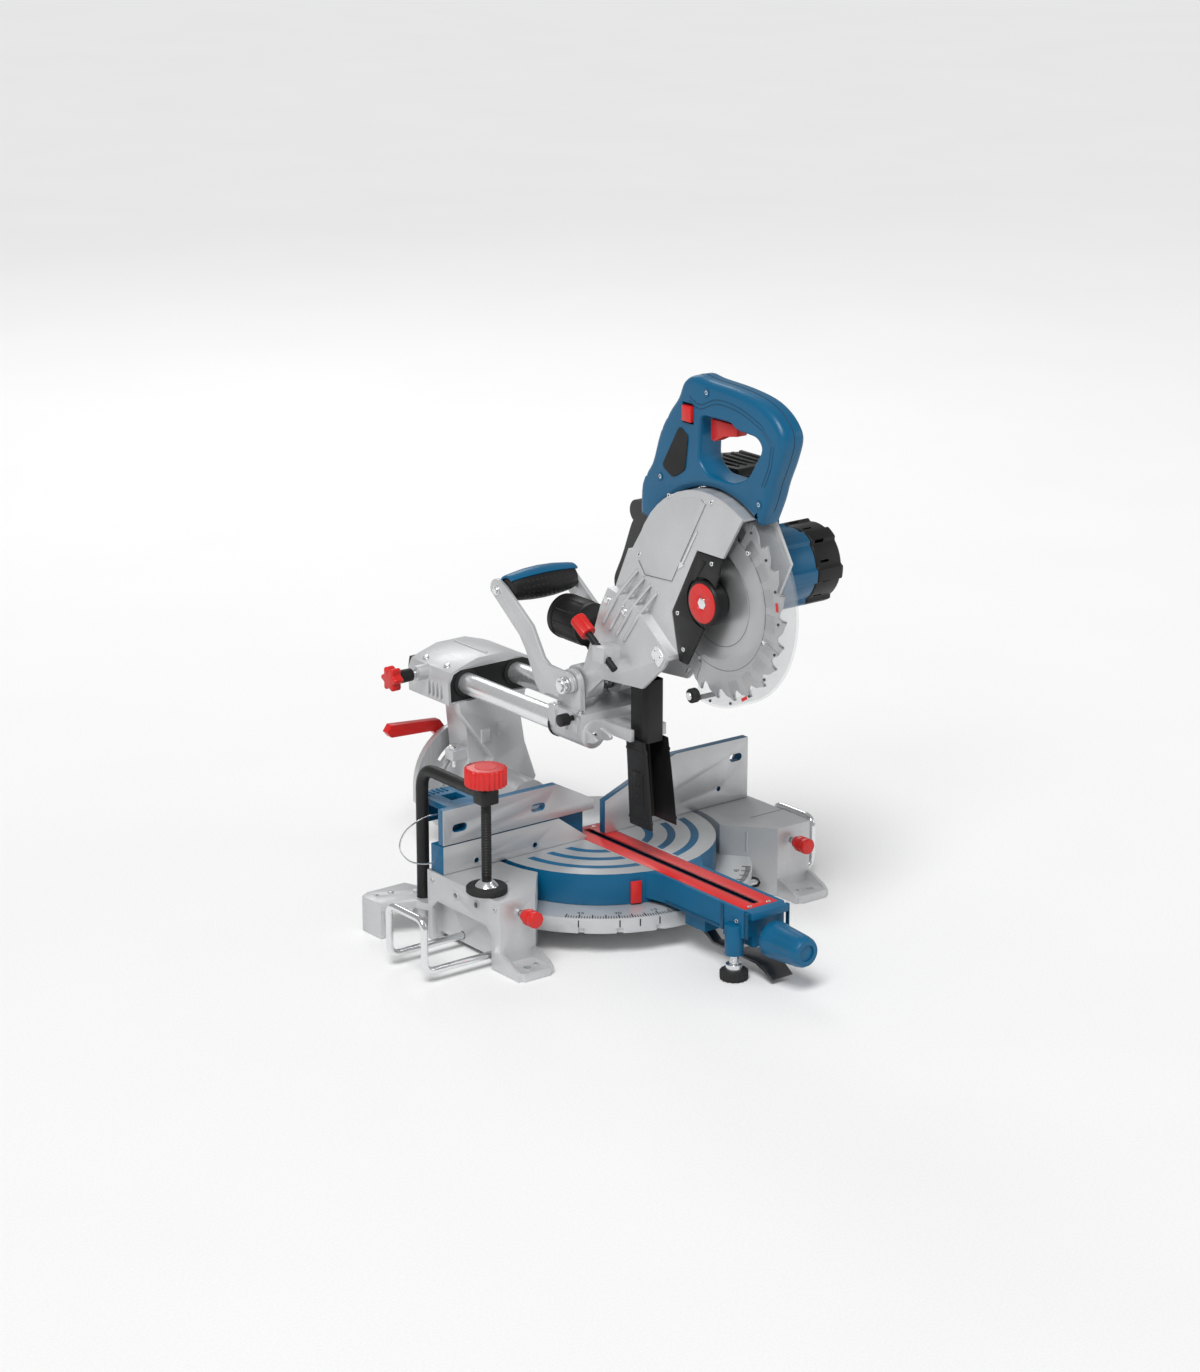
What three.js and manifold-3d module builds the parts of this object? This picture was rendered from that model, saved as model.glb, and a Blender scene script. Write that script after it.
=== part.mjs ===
// Sliding compound mitre saw with a 216 mm blade, on its own cast base.
// Millimetres, +Z up, +Y from the front of the saw to its back, bench at z = 0.
// Inside the model the turntable's axis is x = y = 0; FRAME_SHIFT moves the whole saw so that the
// bottom centre of its bounding box is the origin.
import * as THREE from "three";
import { mergeVertices } from "three/addons/utils/BufferGeometryUtils.js";
import Module from "manifold-3d";

const wasm = await Module();
wasm.setup();

// ---------------------------------------------------------------- driving dimensions
const FRAME_SHIFT = [21.5, 29.5, 0];

const TABLE_Z = 80; // top of the table
const DRUM_R = 131; // turntable drum
const DRUM_BOTTOM = 44.4;
const RING_R = 172; // scale ring of the base
const RING_TOP = 44;
const RING_BOTTOM = 27;
const TOWER_X = 217; // outer faces of the side tables
const TOWER_FRONT = -109;
const TOWER_BACK = 25;
const TOWER_BORE_R = 140; // the side tables' round inner walls
const WALL = 6; // casting wall
const ARM_HALF = 28; // half width of the front arm
const ARM_FRONT = -287;
const KERF = 3.5; // half width of the kerf slot
const MITRE_Z = 48; // mitre lock shaft

const FENCE_FRONT = -3;
const FENCE_BACK = 6.5;
const FENCE_FOOT = 80.4;
const FENCE_SEAT_Y = -6; // the side tables step down a little behind this line
const FENCE_SEAT_Z = 79.8;

const BEVEL_R = 12; // bevel pin
const BEVEL_HUB_R = 30;
const QUADRANT_R = 67;
const LOCK_R = 40.5; // bevel lock bolt, from the bevel axis

const RAIL_X = 35; // rails, either side of the middle
const RAIL_Z = 214;
const RAIL_R = 12.5;
const HOUSING_FRONT = 203;
const HOUSING_BACK = 283;
const RAIL_LOCK = [250, 221]; // rail lock knob (y, z)

const PIVOT = [-6, 266]; // head hinge (y, z)
const ARBOR = [-208, 400]; // blade axis (y, z)
const MOTOR = [-208, 422]; // motor axis (y, z)
const BLADE_R = 108;
const TEETH = 24;
const GUARD_R = 120; // upper guard, outside
const LOWER_GUARD_R = 114;
const GUARD_X = 22; // half width of the upper guard
const CHEEK_X = 35; // outer face of the lower guard body

const BAR_Y = [-87, -22]; // legs of an extension bar
const BAR_Z = 14;
const BAR_TOP = 72;
const BAR_R = 4;
const BAR_KNOB = [190, 62.6]; // (x, z), one on each side
const CLAMP_POST = [-208, 46];
const CLAMP_ARM_Z = 190;
const CLAMP_REACH = 119; // post to spindle
const CLAMP_R = 7;

// ---------------------------------------------------------------- materials
const material = (color, roughness, metalness, extra = {}) =>
  new THREE.MeshStandardMaterial({ color, roughness, metalness, ...extra });
const castMetal = material(0xb9babb, 0.45, 0.6);
const brightSteel = material(0xd5d7d9, 0.2, 1);
const bladeSteel = material(0xc4c5c6, 0.3, 1);
const bluePaint = material(0x12608f, 0.4, 0.1);
const redPlastic = material(0xdc2a2a, 0.4, 0);
const blackPlastic = material(0x1c1c1d, 0.5, 0);
const greyPlastic = material(0x3b3a39, 0.6, 0);
const darkSteel = material(0x2c2c2e, 0.35, 0.9);
const clearPlastic = material(0xd8dadb, 0.15, 0, { transparent: true, opacity: 0.4 });
const copper = material(0xa86a3a, 0.4, 0.9);

// ---------------------------------------------------------------- solids
// A closed three.js geometry as a solid, turned to face outwards.
function solid(geometry) {
  const bare = new THREE.BufferGeometry();
  const source = geometry.index ? geometry.toNonIndexed() : geometry;
  bare.setAttribute("position", source.getAttribute("position"));
  const merged = mergeVertices(bare, 1e-4);
  const triVerts = new Uint32Array(merged.index.array);
  const vertProperties = new Float32Array(merged.attributes.position.array);
  const made = new wasm.Manifold(new wasm.Mesh({ numProp: 3, vertProperties, triVerts }));
  if (made.volume() > 0) return made;
  for (let i = 0; i < triVerts.length; i += 3) {
    [triVerts[i + 1], triVerts[i + 2]] = [triVerts[i + 2], triVerts[i + 1]];
  }
  return new wasm.Manifold(new wasm.Mesh({ numProp: 3, vertProperties, triVerts }));
}

const join = (first, ...rest) => rest.reduce((sum, next) => sum.add(next), first);
const cut = (first, ...rest) => rest.reduce((left, next) => left.subtract(next), first);

// Turns a geometry built along +Z (rods, plates) so that it runs along the named axis.
// Plate outlines are (y, z) for "x", (x, z) for "y" and (x, y) for "z".
const ALONG = {
  x: new THREE.Matrix4().set(0, 0, 1, 0, 1, 0, 0, 0, 0, 1, 0, 0, 0, 0, 0, 1),
  y: new THREE.Matrix4().set(1, 0, 0, 0, 0, 0, -1, 0, 0, 1, 0, 0, 0, 0, 0, 1),
  z: new THREE.Matrix4(),
};

function box(x0, x1, y0, y1, z0, z1) {
  const made = new THREE.BoxGeometry(x1 - x0, y1 - y0, z1 - z0);
  return solid(made.translate((x0 + x1) / 2, (y0 + y1) / 2, (z0 + z1) / 2));
}

function plate(axis, outline, from, to) {
  const shape = new THREE.Shape(outline.map(([u, v]) => new THREE.Vector2(u, v)));
  const made = new THREE.ExtrudeGeometry(shape, {
    depth: to - from,
    bevelEnabled: false,
    curveSegments: 1,
  });
  const start = axis === "y" ? -to : from;
  return solid(made.translate(0, 0, start).applyMatrix4(ALONG[axis]));
}

// Points of an arc in degrees, from a first to a last angle.
function arc(cu, cv, r, first, last, steps) {
  return Array.from({ length: steps + 1 }, (_, i) => {
    const a = THREE.MathUtils.degToRad(first + ((last - first) * i) / steps);
    return [cu + r * Math.cos(a), cv + r * Math.sin(a)];
  });
}

const circle = (cu, cv, r, sides) => arc(cu, cv, r, 0, 360 - 360 / sides, sides - 1);

const rod = (axis, cu, cv, r, from, to, sides = 24) =>
  plate(axis, circle(cu, cv, r, sides), from, to);

const ring = (axis, cu, cv, outer, inner, from, to, sides = 24) =>
  cut(
    rod(axis, cu, cv, outer, from, to, sides),
    rod(axis, cu, cv, inner, from - 1, to + 1, sides),
  );

// A slot with round ends, as an outline.
const slot = (cu, cv, half, r) => [
  ...arc(cu + half, cv, r, -90, 90, 6),
  ...arc(cu - half, cv, r, 90, 270, 6),
];

// A solid of revolution about an axis through (cu, cv); profile points are [radius, position].
function turned(axis, cu, cv, profile, sides = 24) {
  const points = profile.map(([r, h]) => new THREE.Vector2(r, axis === "y" ? -h : h));
  const made = new THREE.LatheGeometry(points, sides).rotateX(Math.PI / 2);
  const offset = axis === "x" ? [0, cu, cv] : axis === "y" ? [cu, 0, cv] : [cu, cv, 0];
  return solid(made.applyMatrix4(ALONG[axis]).translate(...offset));
}

// A round bar along a smooth curve or a polyline with rounded corners.
class RoundedPath extends THREE.CurvePath {
  constructor(corners, radius) {
    super();
    const points = corners.map((c) => new THREE.Vector3(...c));
    let start = points[0];
    for (let i = 1; i < points.length - 1; i += 1) {
      const before = points[i].clone().sub(start).setLength(radius);
      const after = points[i + 1].clone().sub(points[i]).setLength(radius);
      const enter = points[i].clone().sub(before);
      const leave = points[i].clone().add(after);
      this.add(new THREE.LineCurve3(start, enter));
      this.add(new THREE.QuadraticBezierCurve3(enter, points[i], leave));
      start = leave;
    }
    this.add(new THREE.LineCurve3(start, points[points.length - 1]));
  }
}

function bar(path, r, steps, sides = 8) {
  const points = circle(0, 0, r, sides).map(([u, v]) => new THREE.Vector2(u, v));
  const options = { steps, bevelEnabled: false, extrudePath: path };
  return solid(new THREE.ExtrudeGeometry(new THREE.Shape(points), options));
}

// A straight-sided solid between two outlines of four corners, low and high.
function loft(low, high) {
  const corners = [...low, ...high];
  const faces = [0, 2, 1, 0, 3, 2, 4, 5, 6, 4, 6, 7];
  for (let i = 0; i < 4; i += 1) {
    const j = (i + 1) % 4;
    faces.push(i, j, j + 4, i, j + 4, i + 4);
  }
  const made = new THREE.BufferGeometry();
  made.setAttribute("position", new THREE.Float32BufferAttribute(corners.flat(), 3));
  made.setIndex(faces);
  return solid(made);
}

const rect = (x, y0, y1, z) => [
  [-x, y0, z],
  [x, y0, z],
  [x, y1, z],
  [-x, y1, z],
];

// ---------------------------------------------------------------- scene graph
const saw = new THREE.Group();
saw.position.set(...FRAME_SHIFT);

function add(name, made, surface) {
  const mesh = made.getMesh();
  const geometry = new THREE.BufferGeometry();
  geometry.setAttribute("position", new THREE.BufferAttribute(mesh.vertProperties, 3));
  geometry.setIndex(new THREE.BufferAttribute(mesh.triVerts, 1));
  const flat = geometry.toNonIndexed();
  flat.computeVertexNormals();
  const part = new THREE.Mesh(flat, surface);
  part.name = name;
  saw.add(part);
}

// ---------------------------------------------------------------- base casting
const sideways = (outline, side) => outline.map(([x, y]) => [side * x, y]);

function tower(side) {
  const outer = [
    [TOWER_X, TOWER_FRONT],
    [170, TOWER_FRONT],
    [136, -66],
    ...arc(0, 0, TOWER_BORE_R, -24, 10, 4),
    [TOWER_BORE_R, TOWER_BACK],
    [TOWER_X, TOWER_BACK],
  ];
  const inner = [
    [TOWER_X - WALL, TOWER_FRONT + WALL],
    [173, TOWER_FRONT + WALL],
    [142, -64],
    ...arc(0, 0, TOWER_BORE_R + WALL, -24, 7, 4),
    [TOWER_BORE_R + WALL, TOWER_BACK - WALL],
    [TOWER_X - WALL, TOWER_BACK - WALL],
  ];
  const archway = [
    [-93, -1],
    [-93, 38],
    [-83, 47.5],
    [7, 47.5],
    [17, 38],
    [17, -1],
  ];
  const guide = cut(
    box(194, 204, TOWER_FRONT + 4, TOWER_BACK - 4, WALL, TABLE_Z - 4),
    ...BAR_Y.map((y) => rod("x", y, BAR_Z, BAR_R + 0.6, 190, 210, 12)),
  );
  const footOutline = [
    [170, TOWER_FRONT + 2],
    [170, -136],
    [177, -146],
    [211, -146],
    [TOWER_X, -136],
    [TOWER_X, TOWER_FRONT + 2],
  ];
  const gusset = [
    [TOWER_FRONT + 2, 0],
    [TOWER_FRONT + 2, 21],
    [-118, 19],
    [-136, 12],
    [-142, 7],
    [-142, 0],
  ];
  const mirrored = (x0, x1) => [Math.min(side * x0, side * x1), Math.max(side * x0, side * x1)];
  const shell = cut(
    plate("z", sideways(outer, side), 0, TABLE_Z),
    plate("z", sideways(inner, side), -1, TABLE_Z - WALL),
    plate("x", archway, ...mirrored(TOWER_X - 12, TOWER_X + 5)),
    box(...mirrored(130, TOWER_X + 5), FENCE_SEAT_Y, TOWER_BACK + 5, FENCE_SEAT_Z, TABLE_Z + 5),
    ...BAR_Y.map((y) => rod("x", y, BAR_Z, 7, ...mirrored(100, 190), 8)),
    rod("x", -27.5, 64, 3.5, ...mirrored(208, 220), 8),
    rod("x", -65.5, 65, 3.5, ...mirrored(208, 220), 8),
    rod("y", side * BAR_KNOB[0], BAR_KNOB[1], 3.4, TOWER_FRONT - 5, TOWER_FRONT + 12, 10),
  );
  const foot = cut(
    plate("z", sideways(footOutline, side), 0, 9),
    rod("z", side * 198, -132, 4.5, -1, 10, 10),
    rod("z", side * 184, -128, 2.5, -1, 10, 6),
  );
  const rearShelf = [
    [TOWER_BORE_R + 25, TOWER_BACK - 2],
    [TOWER_X, TOWER_BACK - 2],
    [TOWER_X + 6, 38],
    [261, 52],
    [261, 88],
    [250, 94],
    [200, 94],
    [188, 60],
  ];
  const guideRib = side > 0 ? guide : guide.mirror([1, 0, 0]);
  return join(
    shell,
    guideRib,
    foot,
    plate("x", gusset, ...mirrored(170, 174)),
    plate("x", gusset, ...mirrored(213, TOWER_X)),
    cut(
      plate("z", sideways(rearShelf, side), 32, 40),
      rod("z", side * 208, 46, CLAMP_R + 0.4, 20, 50, 16),
      rod("z", side * 246, 80, 2.5, 20, 50, 6),
    ),
    cut(
      rod("z", side * 208, 46, 12, 20, 40, 16),
      rod("z", side * 208, 46, CLAMP_R + 0.4, 24, 50, 16),
    ),
    box(...mirrored(255, 261), 52, 88, 0, 34),
  );
}

const bottomPlate = cut(
  join(
    rod("z", 0, 0, RING_R, RING_BOTTOM, RING_BOTTOM + 6, 40),
    ring("z", 0, 0, RING_R, RING_R - 50, RING_BOTTOM, RING_TOP, 40),
    rod("z", 0, 0, 32, RING_BOTTOM, RING_TOP, 20),
  ),
  rod("z", 0, 0, 20.4, RING_BOTTOM - 1, RING_TOP + 1, 20),
  ...[-44, -30, -15, 0, 15, 30, 44].map((degrees) => {
    const a = THREE.MathUtils.degToRad(degrees - 90);
    return rod("z", RING_R * Math.cos(a), RING_R * Math.sin(a), 5, RING_BOTTOM - 1, 33, 4);
  }),
);
add("base_casting", join(bottomPlate, tower(-1), tower(1)), castMetal);

// ---------------------------------------------------------------- fences
const leftLowerFace = [
  [-215, FENCE_FOOT],
  [-20, FENCE_FOOT],
  [-20, 83.6],
  [-58.6, 112],
  [-215, 112],
];
const leftCarrier = [
  [FENCE_BACK - 1, FENCE_FOOT],
  [24, FENCE_FOOT],
  [24, 143],
  [58, 143],
  [58, 120],
  [71, 120],
  [71, 150],
  [9, 150],
  [9, 111],
  [FENCE_BACK - 1, 111],
];
add(
  "fence_left_lower",
  cut(
    join(
      plate("y", leftLowerFace, FENCE_FRONT, FENCE_BACK),
      plate("x", leftCarrier, -197, -152.5),
      box(-215, -19, FENCE_BACK - 1, 20, FENCE_FOOT, 111),
    ),
    rod("y", -171, 88, 3, FENCE_FRONT - 1, 30, 10),
    rod("y", -91.5, 88, 3, FENCE_FRONT - 1, 30, 10),
    box(-180, -160, 30, 50, 140, 155),
  ),
  bluePaint,
);
const leftUpperFace = [
  [-215, 113.2],
  [-9, 113.2],
  [-9, 124.5],
  [-61, 152.5],
  [-215, 153.6],
];
add(
  "fence_left_upper",
  cut(
    plate("y", leftUpperFace, FENCE_FRONT, FENCE_BACK),
    plate("y", slot(-193, 130.5, 5, 4.5), FENCE_FRONT - 1, FENCE_BACK + 1),
    plate("y", slot(-87, 131, 5, 4.5), FENCE_FRONT - 1, FENCE_BACK + 1),
  ),
  castMetal,
);
const rightFace = [
  [6, FENCE_FOOT],
  [213, FENCE_FOOT],
  [213, 153],
  [107, 154],
  [46, 134],
  [6, 118.4],
];
add(
  "fence_right",
  cut(
    join(
      plate("y", rightFace, FENCE_FRONT, FENCE_BACK),
      box(142, 213, FENCE_BACK - 1, 24, FENCE_FOOT, 89),
      plate("x", [[5, 85], [24, 85], [5, 140]], 150, 156),
      plate("x", [[5, 85], [24, 85], [5, 140]], 200, 206),
    ),
    plate("y", slot(195, 131.7, 4.5, 4.5), FENCE_FRONT - 1, FENCE_BACK + 1),
    rod("y", 170, 99, 3, FENCE_FRONT - 1, FENCE_BACK + 1, 10),
  ),
  castMetal,
);
const wireLoop = new THREE.CatmullRomCurve3(
  [
    [-197.4, 30, 138],
    [-222, 26, 139],
    [-247, 22, 131],
    [-258, 18, 115],
    [-248, 15, 99],
    [-230, 13, 92],
    [-215.5, 12, 91],
  ].map((p) => new THREE.Vector3(...p)),
);
add("fence_wire", bar(wireLoop, 0.9, 14, 4), brightSteel);

// ---------------------------------------------------------------- turntable
const kneeBlock = [
  [-37, -118],
  [-ARM_HALF, -150],
  [ARM_HALF, -150],
  [50, -118],
];
const quadrant = [
  [-36, 24],
  [36, 24],
  [36, 100],
  ...arc(0, TABLE_Z, QUADRANT_R, 70, 180, 14),
  [-QUADRANT_R, 60],
];
const quadrantSlot = [
  ...arc(0, TABLE_Z, LOCK_R + 5.4, 81, 144, 6),
  ...arc(0, TABLE_Z, LOCK_R - 5.4, 144, 81, 6),
];
const drum = cut(
  rod("z", 0, 0, DRUM_R, DRUM_BOTTOM, TABLE_Z, 48),
  rod("z", 0, 0, DRUM_R - 8, DRUM_BOTTOM - 4, TABLE_Z - WALL, 24),
);
const rearTrunnion = join(
  box(-36, 36, 122, 175, 45, 84),
  rod("y", 0, TABLE_Z, 28, 132, 181, 24),
  box(-36, 36, 174, 181, 24, TABLE_Z),
  box(-36, 36, 174, 268, 24, 42),
  cut(plate("y", quadrant, 260, 268), plate("y", quadrantSlot, 255, 275)),
  rod("y", 0, TABLE_Z, BEVEL_R, 178, 262, 20),
);
add(
  "turntable",
  cut(
    join(
      drum,
      box(-24, 24, -126, 126, 48, TABLE_Z - 4),
      rod("z", 0, 0, 20, 28, 50, 20),
      plate("z", kneeBlock, 50, TABLE_Z),
      box(-ARM_HALF, ARM_HALF, ARM_FRONT, -118, 49.6, TABLE_Z),
      box(-25, 25, ARM_FRONT - 11, ARM_FRONT + 5, 72, TABLE_Z),
      box(-20, 20, -213, -179, 32.5, 52),
      box(-14, 14, ARM_FRONT, -236, 36, 52),
      rod("z", -28, -272, 10.5, 28, 62, 14),
      rearTrunnion,
    ),
    box(-8, 13, -277, 25, 56, TABLE_Z),
    box(-23, 23, -283.5, 30.5, 76, TABLE_Z + 2),
    rod("z", -28, -272, 5.5, 20, 60, 12),
    rod("y", 0, MITRE_Z, 6.4, ARM_FRONT - 2, -228, 16),
  ),
  bluePaint,
);
const kerfSection = [
  [-KERF, 82],
  [-KERF, 76],
  [KERF + 4, 76],
  [KERF, TABLE_Z],
  [KERF, 82],
];
add(
  "table_insert",
  cut(
    box(-22.5, 22.5, -283, 30, 76.3, TABLE_Z),
    plate("y", kerfSection, -274, 22),
  ),
  redPlastic,
);
const pointerSide = [
  [-DRUM_R - 4, 46],
  [-DRUM_R - 0.4, 46],
  [-DRUM_R - 0.4, 70],
  [-DRUM_R - 4, 72],
];
add("pointer", plate("x", pointerSide, -6, 6).rotate([0, 0, -20]), redPlastic);

// ---------------------------------------------------------------- mitre lock, detent and front foot
const mitreKnob = [
  [0, -300],
  [17, -300],
  [20.5, -304],
  [20.5, -312],
  [17.5, -351],
  [15, -358],
  [0, -358],
];
add(
  "mitre_knob",
  cut(
    turned("y", 0, MITRE_Z, mitreKnob, 16),
    rod("y", 0, MITRE_Z, 10, -361, -356, 16),
  ),
  bluePaint,
);
add("mitre_shaft", rod("y", 0, MITRE_Z, 6, -299.7, -230, 16), brightSteel);
const leverSide = [
  [-184, 32.1],
  [-194, 31],
  [-211, 19],
  [-285, 19],
  [-300, 14.5],
  [-313, 6],
  [-310, 4],
  [-298, 11],
  [-284, 15.8],
  [-210, 15.8],
  [-184, 29],
];
add(
  "detent_lever",
  join(
    plate("x", leverSide, -7, 5),
    plate("x", leverSide, -9, 20).intersect(box(-30, 30, -330, -246, 0, 60)),
  ),
  darkSteel,
);
const footScrew = [
  [0, 0],
  [14.5, 0],
  [15.5, 2],
  [15.5, 10],
  [13, 11],
  [13, 17],
  [5, 17],
  [5, 46],
  [0, 46],
];
add("foot_screw", turned("z", -28, -272, footScrew, 14), blackPlastic);

// ---------------------------------------------------------------- tilting arm with the rail housing
const housingOutline = [
  [-60, 191],
  [60, 191],
  [61, 218],
  [56, 229],
  [46, 233],
  [20, 241],
  [-20, 241],
  [-46, 233],
  [-56, 229],
  [-61, 218],
];
const plateOutline = [
  [-57, 194],
  [57, 194],
  [58, 217],
  [53, 227],
  [44, 230.5],
  [-44, 230.5],
  [-53, 227],
  [-58, 217],
];
const armFace = [
  [-50, 194],
  [-47, 181],
  [-1, 118],
  [-12, 100],
  [-34, 84],
  [-18, 58],
  [44, 62],
  [59, 84],
  [43, 130],
  [38, 160],
  [45, 194],
];
const armBack = [
  [-34, 194],
  [-26, 120],
  [-26, TABLE_Z],
  [26, TABLE_Z],
  [29, 120],
  [32, 194],
];
const rails = [-RAIL_X, RAIL_X];
add(
  "tilt_arm",
  cut(
    join(
      plate("y", housingOutline, HOUSING_FRONT, HOUSING_BACK),
      plate("y", armFace, 198, 212),
      plate("y", armBack, 212, 250),
      rod("y", 0, TABLE_Z, BEVEL_HUB_R, 181.6, 258, 24),
      box(4, 13, 193, 199, 146, 160),
      box(-46, -22, 216, 232, 118, 130),
      rod("x", ...RAIL_LOCK, 9, -74, -56, 16),
    ),
    plate("y", plateOutline, HOUSING_FRONT - 1, HOUSING_FRONT + 5),
    box(-40, 40, 190, HOUSING_FRONT, 194, 240),
    ...rails.map((x) => rod("y", x, RAIL_Z, 16, HOUSING_FRONT - 2, HOUSING_BACK + 2, 20)),
    rod("y", 0, TABLE_Z, BEVEL_R + 0.5, 170, 270, 20),
    rod("y", 0, TABLE_Z + LOCK_R, 5, 228, 252, 12),
    rod("x", ...RAIL_LOCK, 4.4, -80, -52, 12),
    rod("z", -39, 224, 3.4, 110, 140, 12),
  ),
  castMetal,
);
const plateInside = plateOutline.map(([x, z]) => [x * 0.993, 212 + (z - 212) * 0.982]);
add(
  "rail_bearing_plate",
  cut(
    plate("y", plateInside, HOUSING_FRONT + 0.5, HOUSING_FRONT + 4.5),
    ...rails.map((x) => rod("y", x, RAIL_Z, 13.4, HOUSING_FRONT - 2, HOUSING_FRONT + 8, 20)),
  ),
  blackPlastic,
);
for (const [name, x] of [["bushing_left", -RAIL_X], ["bushing_right", RAIL_X]]) {
  add(name, ring("y", x, RAIL_Z, 15.4, 12.9, 212, 274, 20), greyPlastic);
}
add(
  "bevel_stop_screw",
  turned("z", -39, 224, [[0, 108], [3, 108], [3, 130.4], [6, 130.4], [6, 135], [0, 135]], 12),
  brightSteel,
);
add("bevel_lock_bolt", rod("y", 0, TABLE_Z + LOCK_R, 4.4, 231, 288, 16), brightSteel);
const lockLever = [
  [-8, 113],
  [-8, 128],
  [-24, 150],
  [-92, 156],
  [-98, 148],
  [-92, 141],
  [-34, 138],
  [-14, 116],
];
add(
  "bevel_lock_lever",
  cut(
    join(
      rod("y", 0, TABLE_Z + LOCK_R, 11, 272, 284, 20),
      plate("y", lockLever, 273, 283),
    ),
    rod("y", 0, TABLE_Z + LOCK_R, 4.7, 270, 290, 16),
  ),
  redPlastic,
);
const starOutline = Array.from({ length: 24 }, (_, i) => {
  const a = (i / 24) * 2 * Math.PI;
  const r = 12.5 + 2.5 * Math.cos(6 * a);
  return [RAIL_LOCK[0] + r * Math.cos(a), RAIL_LOCK[1] + r * Math.sin(a)];
});
add(
  "rail_lock_knob",
  join(
    plate("x", starOutline, -112, -99),
    rod("x", ...RAIL_LOCK, 8, -100, -80, 16),
    rod("x", ...RAIL_LOCK, 4, -81, -53, 12),
  ),
  redPlastic,
);

// ---------------------------------------------------------------- sliding carriage
for (const [name, x] of [["rail_left", -RAIL_X], ["rail_right", RAIL_X]]) {
  add(name, ring("y", x, RAIL_Z, RAIL_R, 10, -30, 292, 20), brightSteel);
}
const endPlate = [
  [-48, 201],
  [48, 201],
  [50, 214],
  [48, 226],
  [-48, 226],
  [-50, 214],
];
add(
  "rail_end_plate",
  plate("y", endPlate, 292.3, 299),
  blackPlastic,
);
const earOutline = [
  [-24, 228],
  [22, 228],
  ...arc(PIVOT[0], PIVOT[1], 17, 0, 180, 10),
];
add(
  "carriage",
  cut(
    join(
      ...rails.map((x) => rod("y", x, RAIL_Z, 16.5, -36, 24, 20)),
      box(-52, 52, -36, 24, 226, 238),
      box(-52, -42, -36, 24, 214, 236),
      box(42, 52, -36, 24, 214, 236),
      plate("x", earOutline, -44, -37.5),
      plate("x", earOutline, 37.5, 44),
      box(-25, -19.5, -88, -30, 216, 229),
      box(19.5, 25, -88, -30, 216, 229),
      box(12, 28, 16, 24, 236, 244),
    ),
    ...rails.map((x) => rod("y", x, RAIL_Z, 12.9, -33, 30, 20)),
    rod("x", PIVOT[0], PIVOT[1], 6.4, -70, 70, 16),
    rod("x", -20, 232, 3.4, -60, -40, 10),
  ),
  castMetal,
);
add(
  "pivot_axle",
  join(
    rod("x", PIVOT[0], PIVOT[1], 6, -56, 56, 16),
    rod("x", PIVOT[0], PIVOT[1], 9.5, -57, -51.2, 12),
    rod("x", PIVOT[0], PIVOT[1], 9.5, 51.2, 57, 12),
  ),
  brightSteel,
);
class Helix extends THREE.Curve {
  getPoint(t, target = new THREE.Vector3()) {
    const a = t * 2 * Math.PI * 3;
    return target.set(-10 + 20 * t, PIVOT[0] + 13 * Math.cos(a), PIVOT[1] + 13 * Math.sin(a));
  }
}
add("head_spring", bar(new Helix(), 1.8, 34, 5), darkSteel);
add(
  "transport_pin",
  join(rod("x", -20, 232, 3, -60, -44, 10), rod("x", -20, 232, 7, -70, -59, 14)),
  blackPlastic,
);
const tubeSection = [
  [-14, -96],
  [-10, -100],
  [10, -100],
  [14, -96],
  [14, -75],
  [10, -71],
  [-10, -71],
  [-14, -75],
];
add(
  "dust_tube",
  cut(
    plate("z", tubeSection, 214, 284),
    box(-11.5, 11.5, -97.5, -73.5, 210, 290),
  ),
  blackPlastic,
);
const boot = cut(
  loft(rect(19, -119, -76, 120), rect(17.6, -104, -67, 217)),
  loft(rect(16.5, -125, -78.5, 118), rect(15.1, -110, -69.5, 219)),
  box(-16, 16, -120, -60, 209, 220),
  box(-12, 12, -130, -98, 110, 188),
);
add("dust_boot", boot, blackPlastic);
const portStrut = [
  [16.5, 284],
  [24, 272],
  [42, 288],
  [42, 300],
];
add(
  "dust_port",
  join(
    ring("y", 19, 312, 25, 21.5, 40, 88, 20),
    cut(rod("y", 19, 312, 25, 36, 41, 20), rod("y", 19, 312, 9, 30, 45, 10)),
    box(13, 27, 16.5, 24, 244.3, 290),
    plate("x", portStrut, 13, 27),
  ),
  blackPlastic,
);
const handleArm = [
  ...arc(PIVOT[0], PIVOT[1], 14, 200, 100, 6),
  [26, 281],
  [36, 287],
  [57, 319],
  [106, 352],
  ...arc(122, 346, 12, 110, -20, 6),
  [80, 303],
  [68, 288],
  [50, 254],
  [40, 245],
  [22, 249],
  [4, 252],
];
for (const [name, from] of [["carry_arm_left", -50.5], ["carry_arm_right", 45.5]]) {
  add(
    name,
    cut(
      plate("x", handleArm, from, from + 5),
      rod("x", PIVOT[0], PIVOT[1], 6.4, from - 1, from + 6, 16),
      rod("x", 122, 345, 4.2, from - 1, from + 6, 12),
    ),
    castMetal,
  );
}
const gripProfile = [
  [0, -45],
  [12, -45],
  [15.5, -36],
  [16.5, 0],
  [15.5, 36],
  [12, 45],
  [0, 45],
];
add(
  "carry_grip",
  join(
    turned("x", 108, 349, gripProfile, 14),
    rod("x", 122, 345, 3.8, -53, -40, 12),
    rod("x", 122, 345, 3.8, 40, 53, 12),
  ),
  blackPlastic,
);

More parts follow.
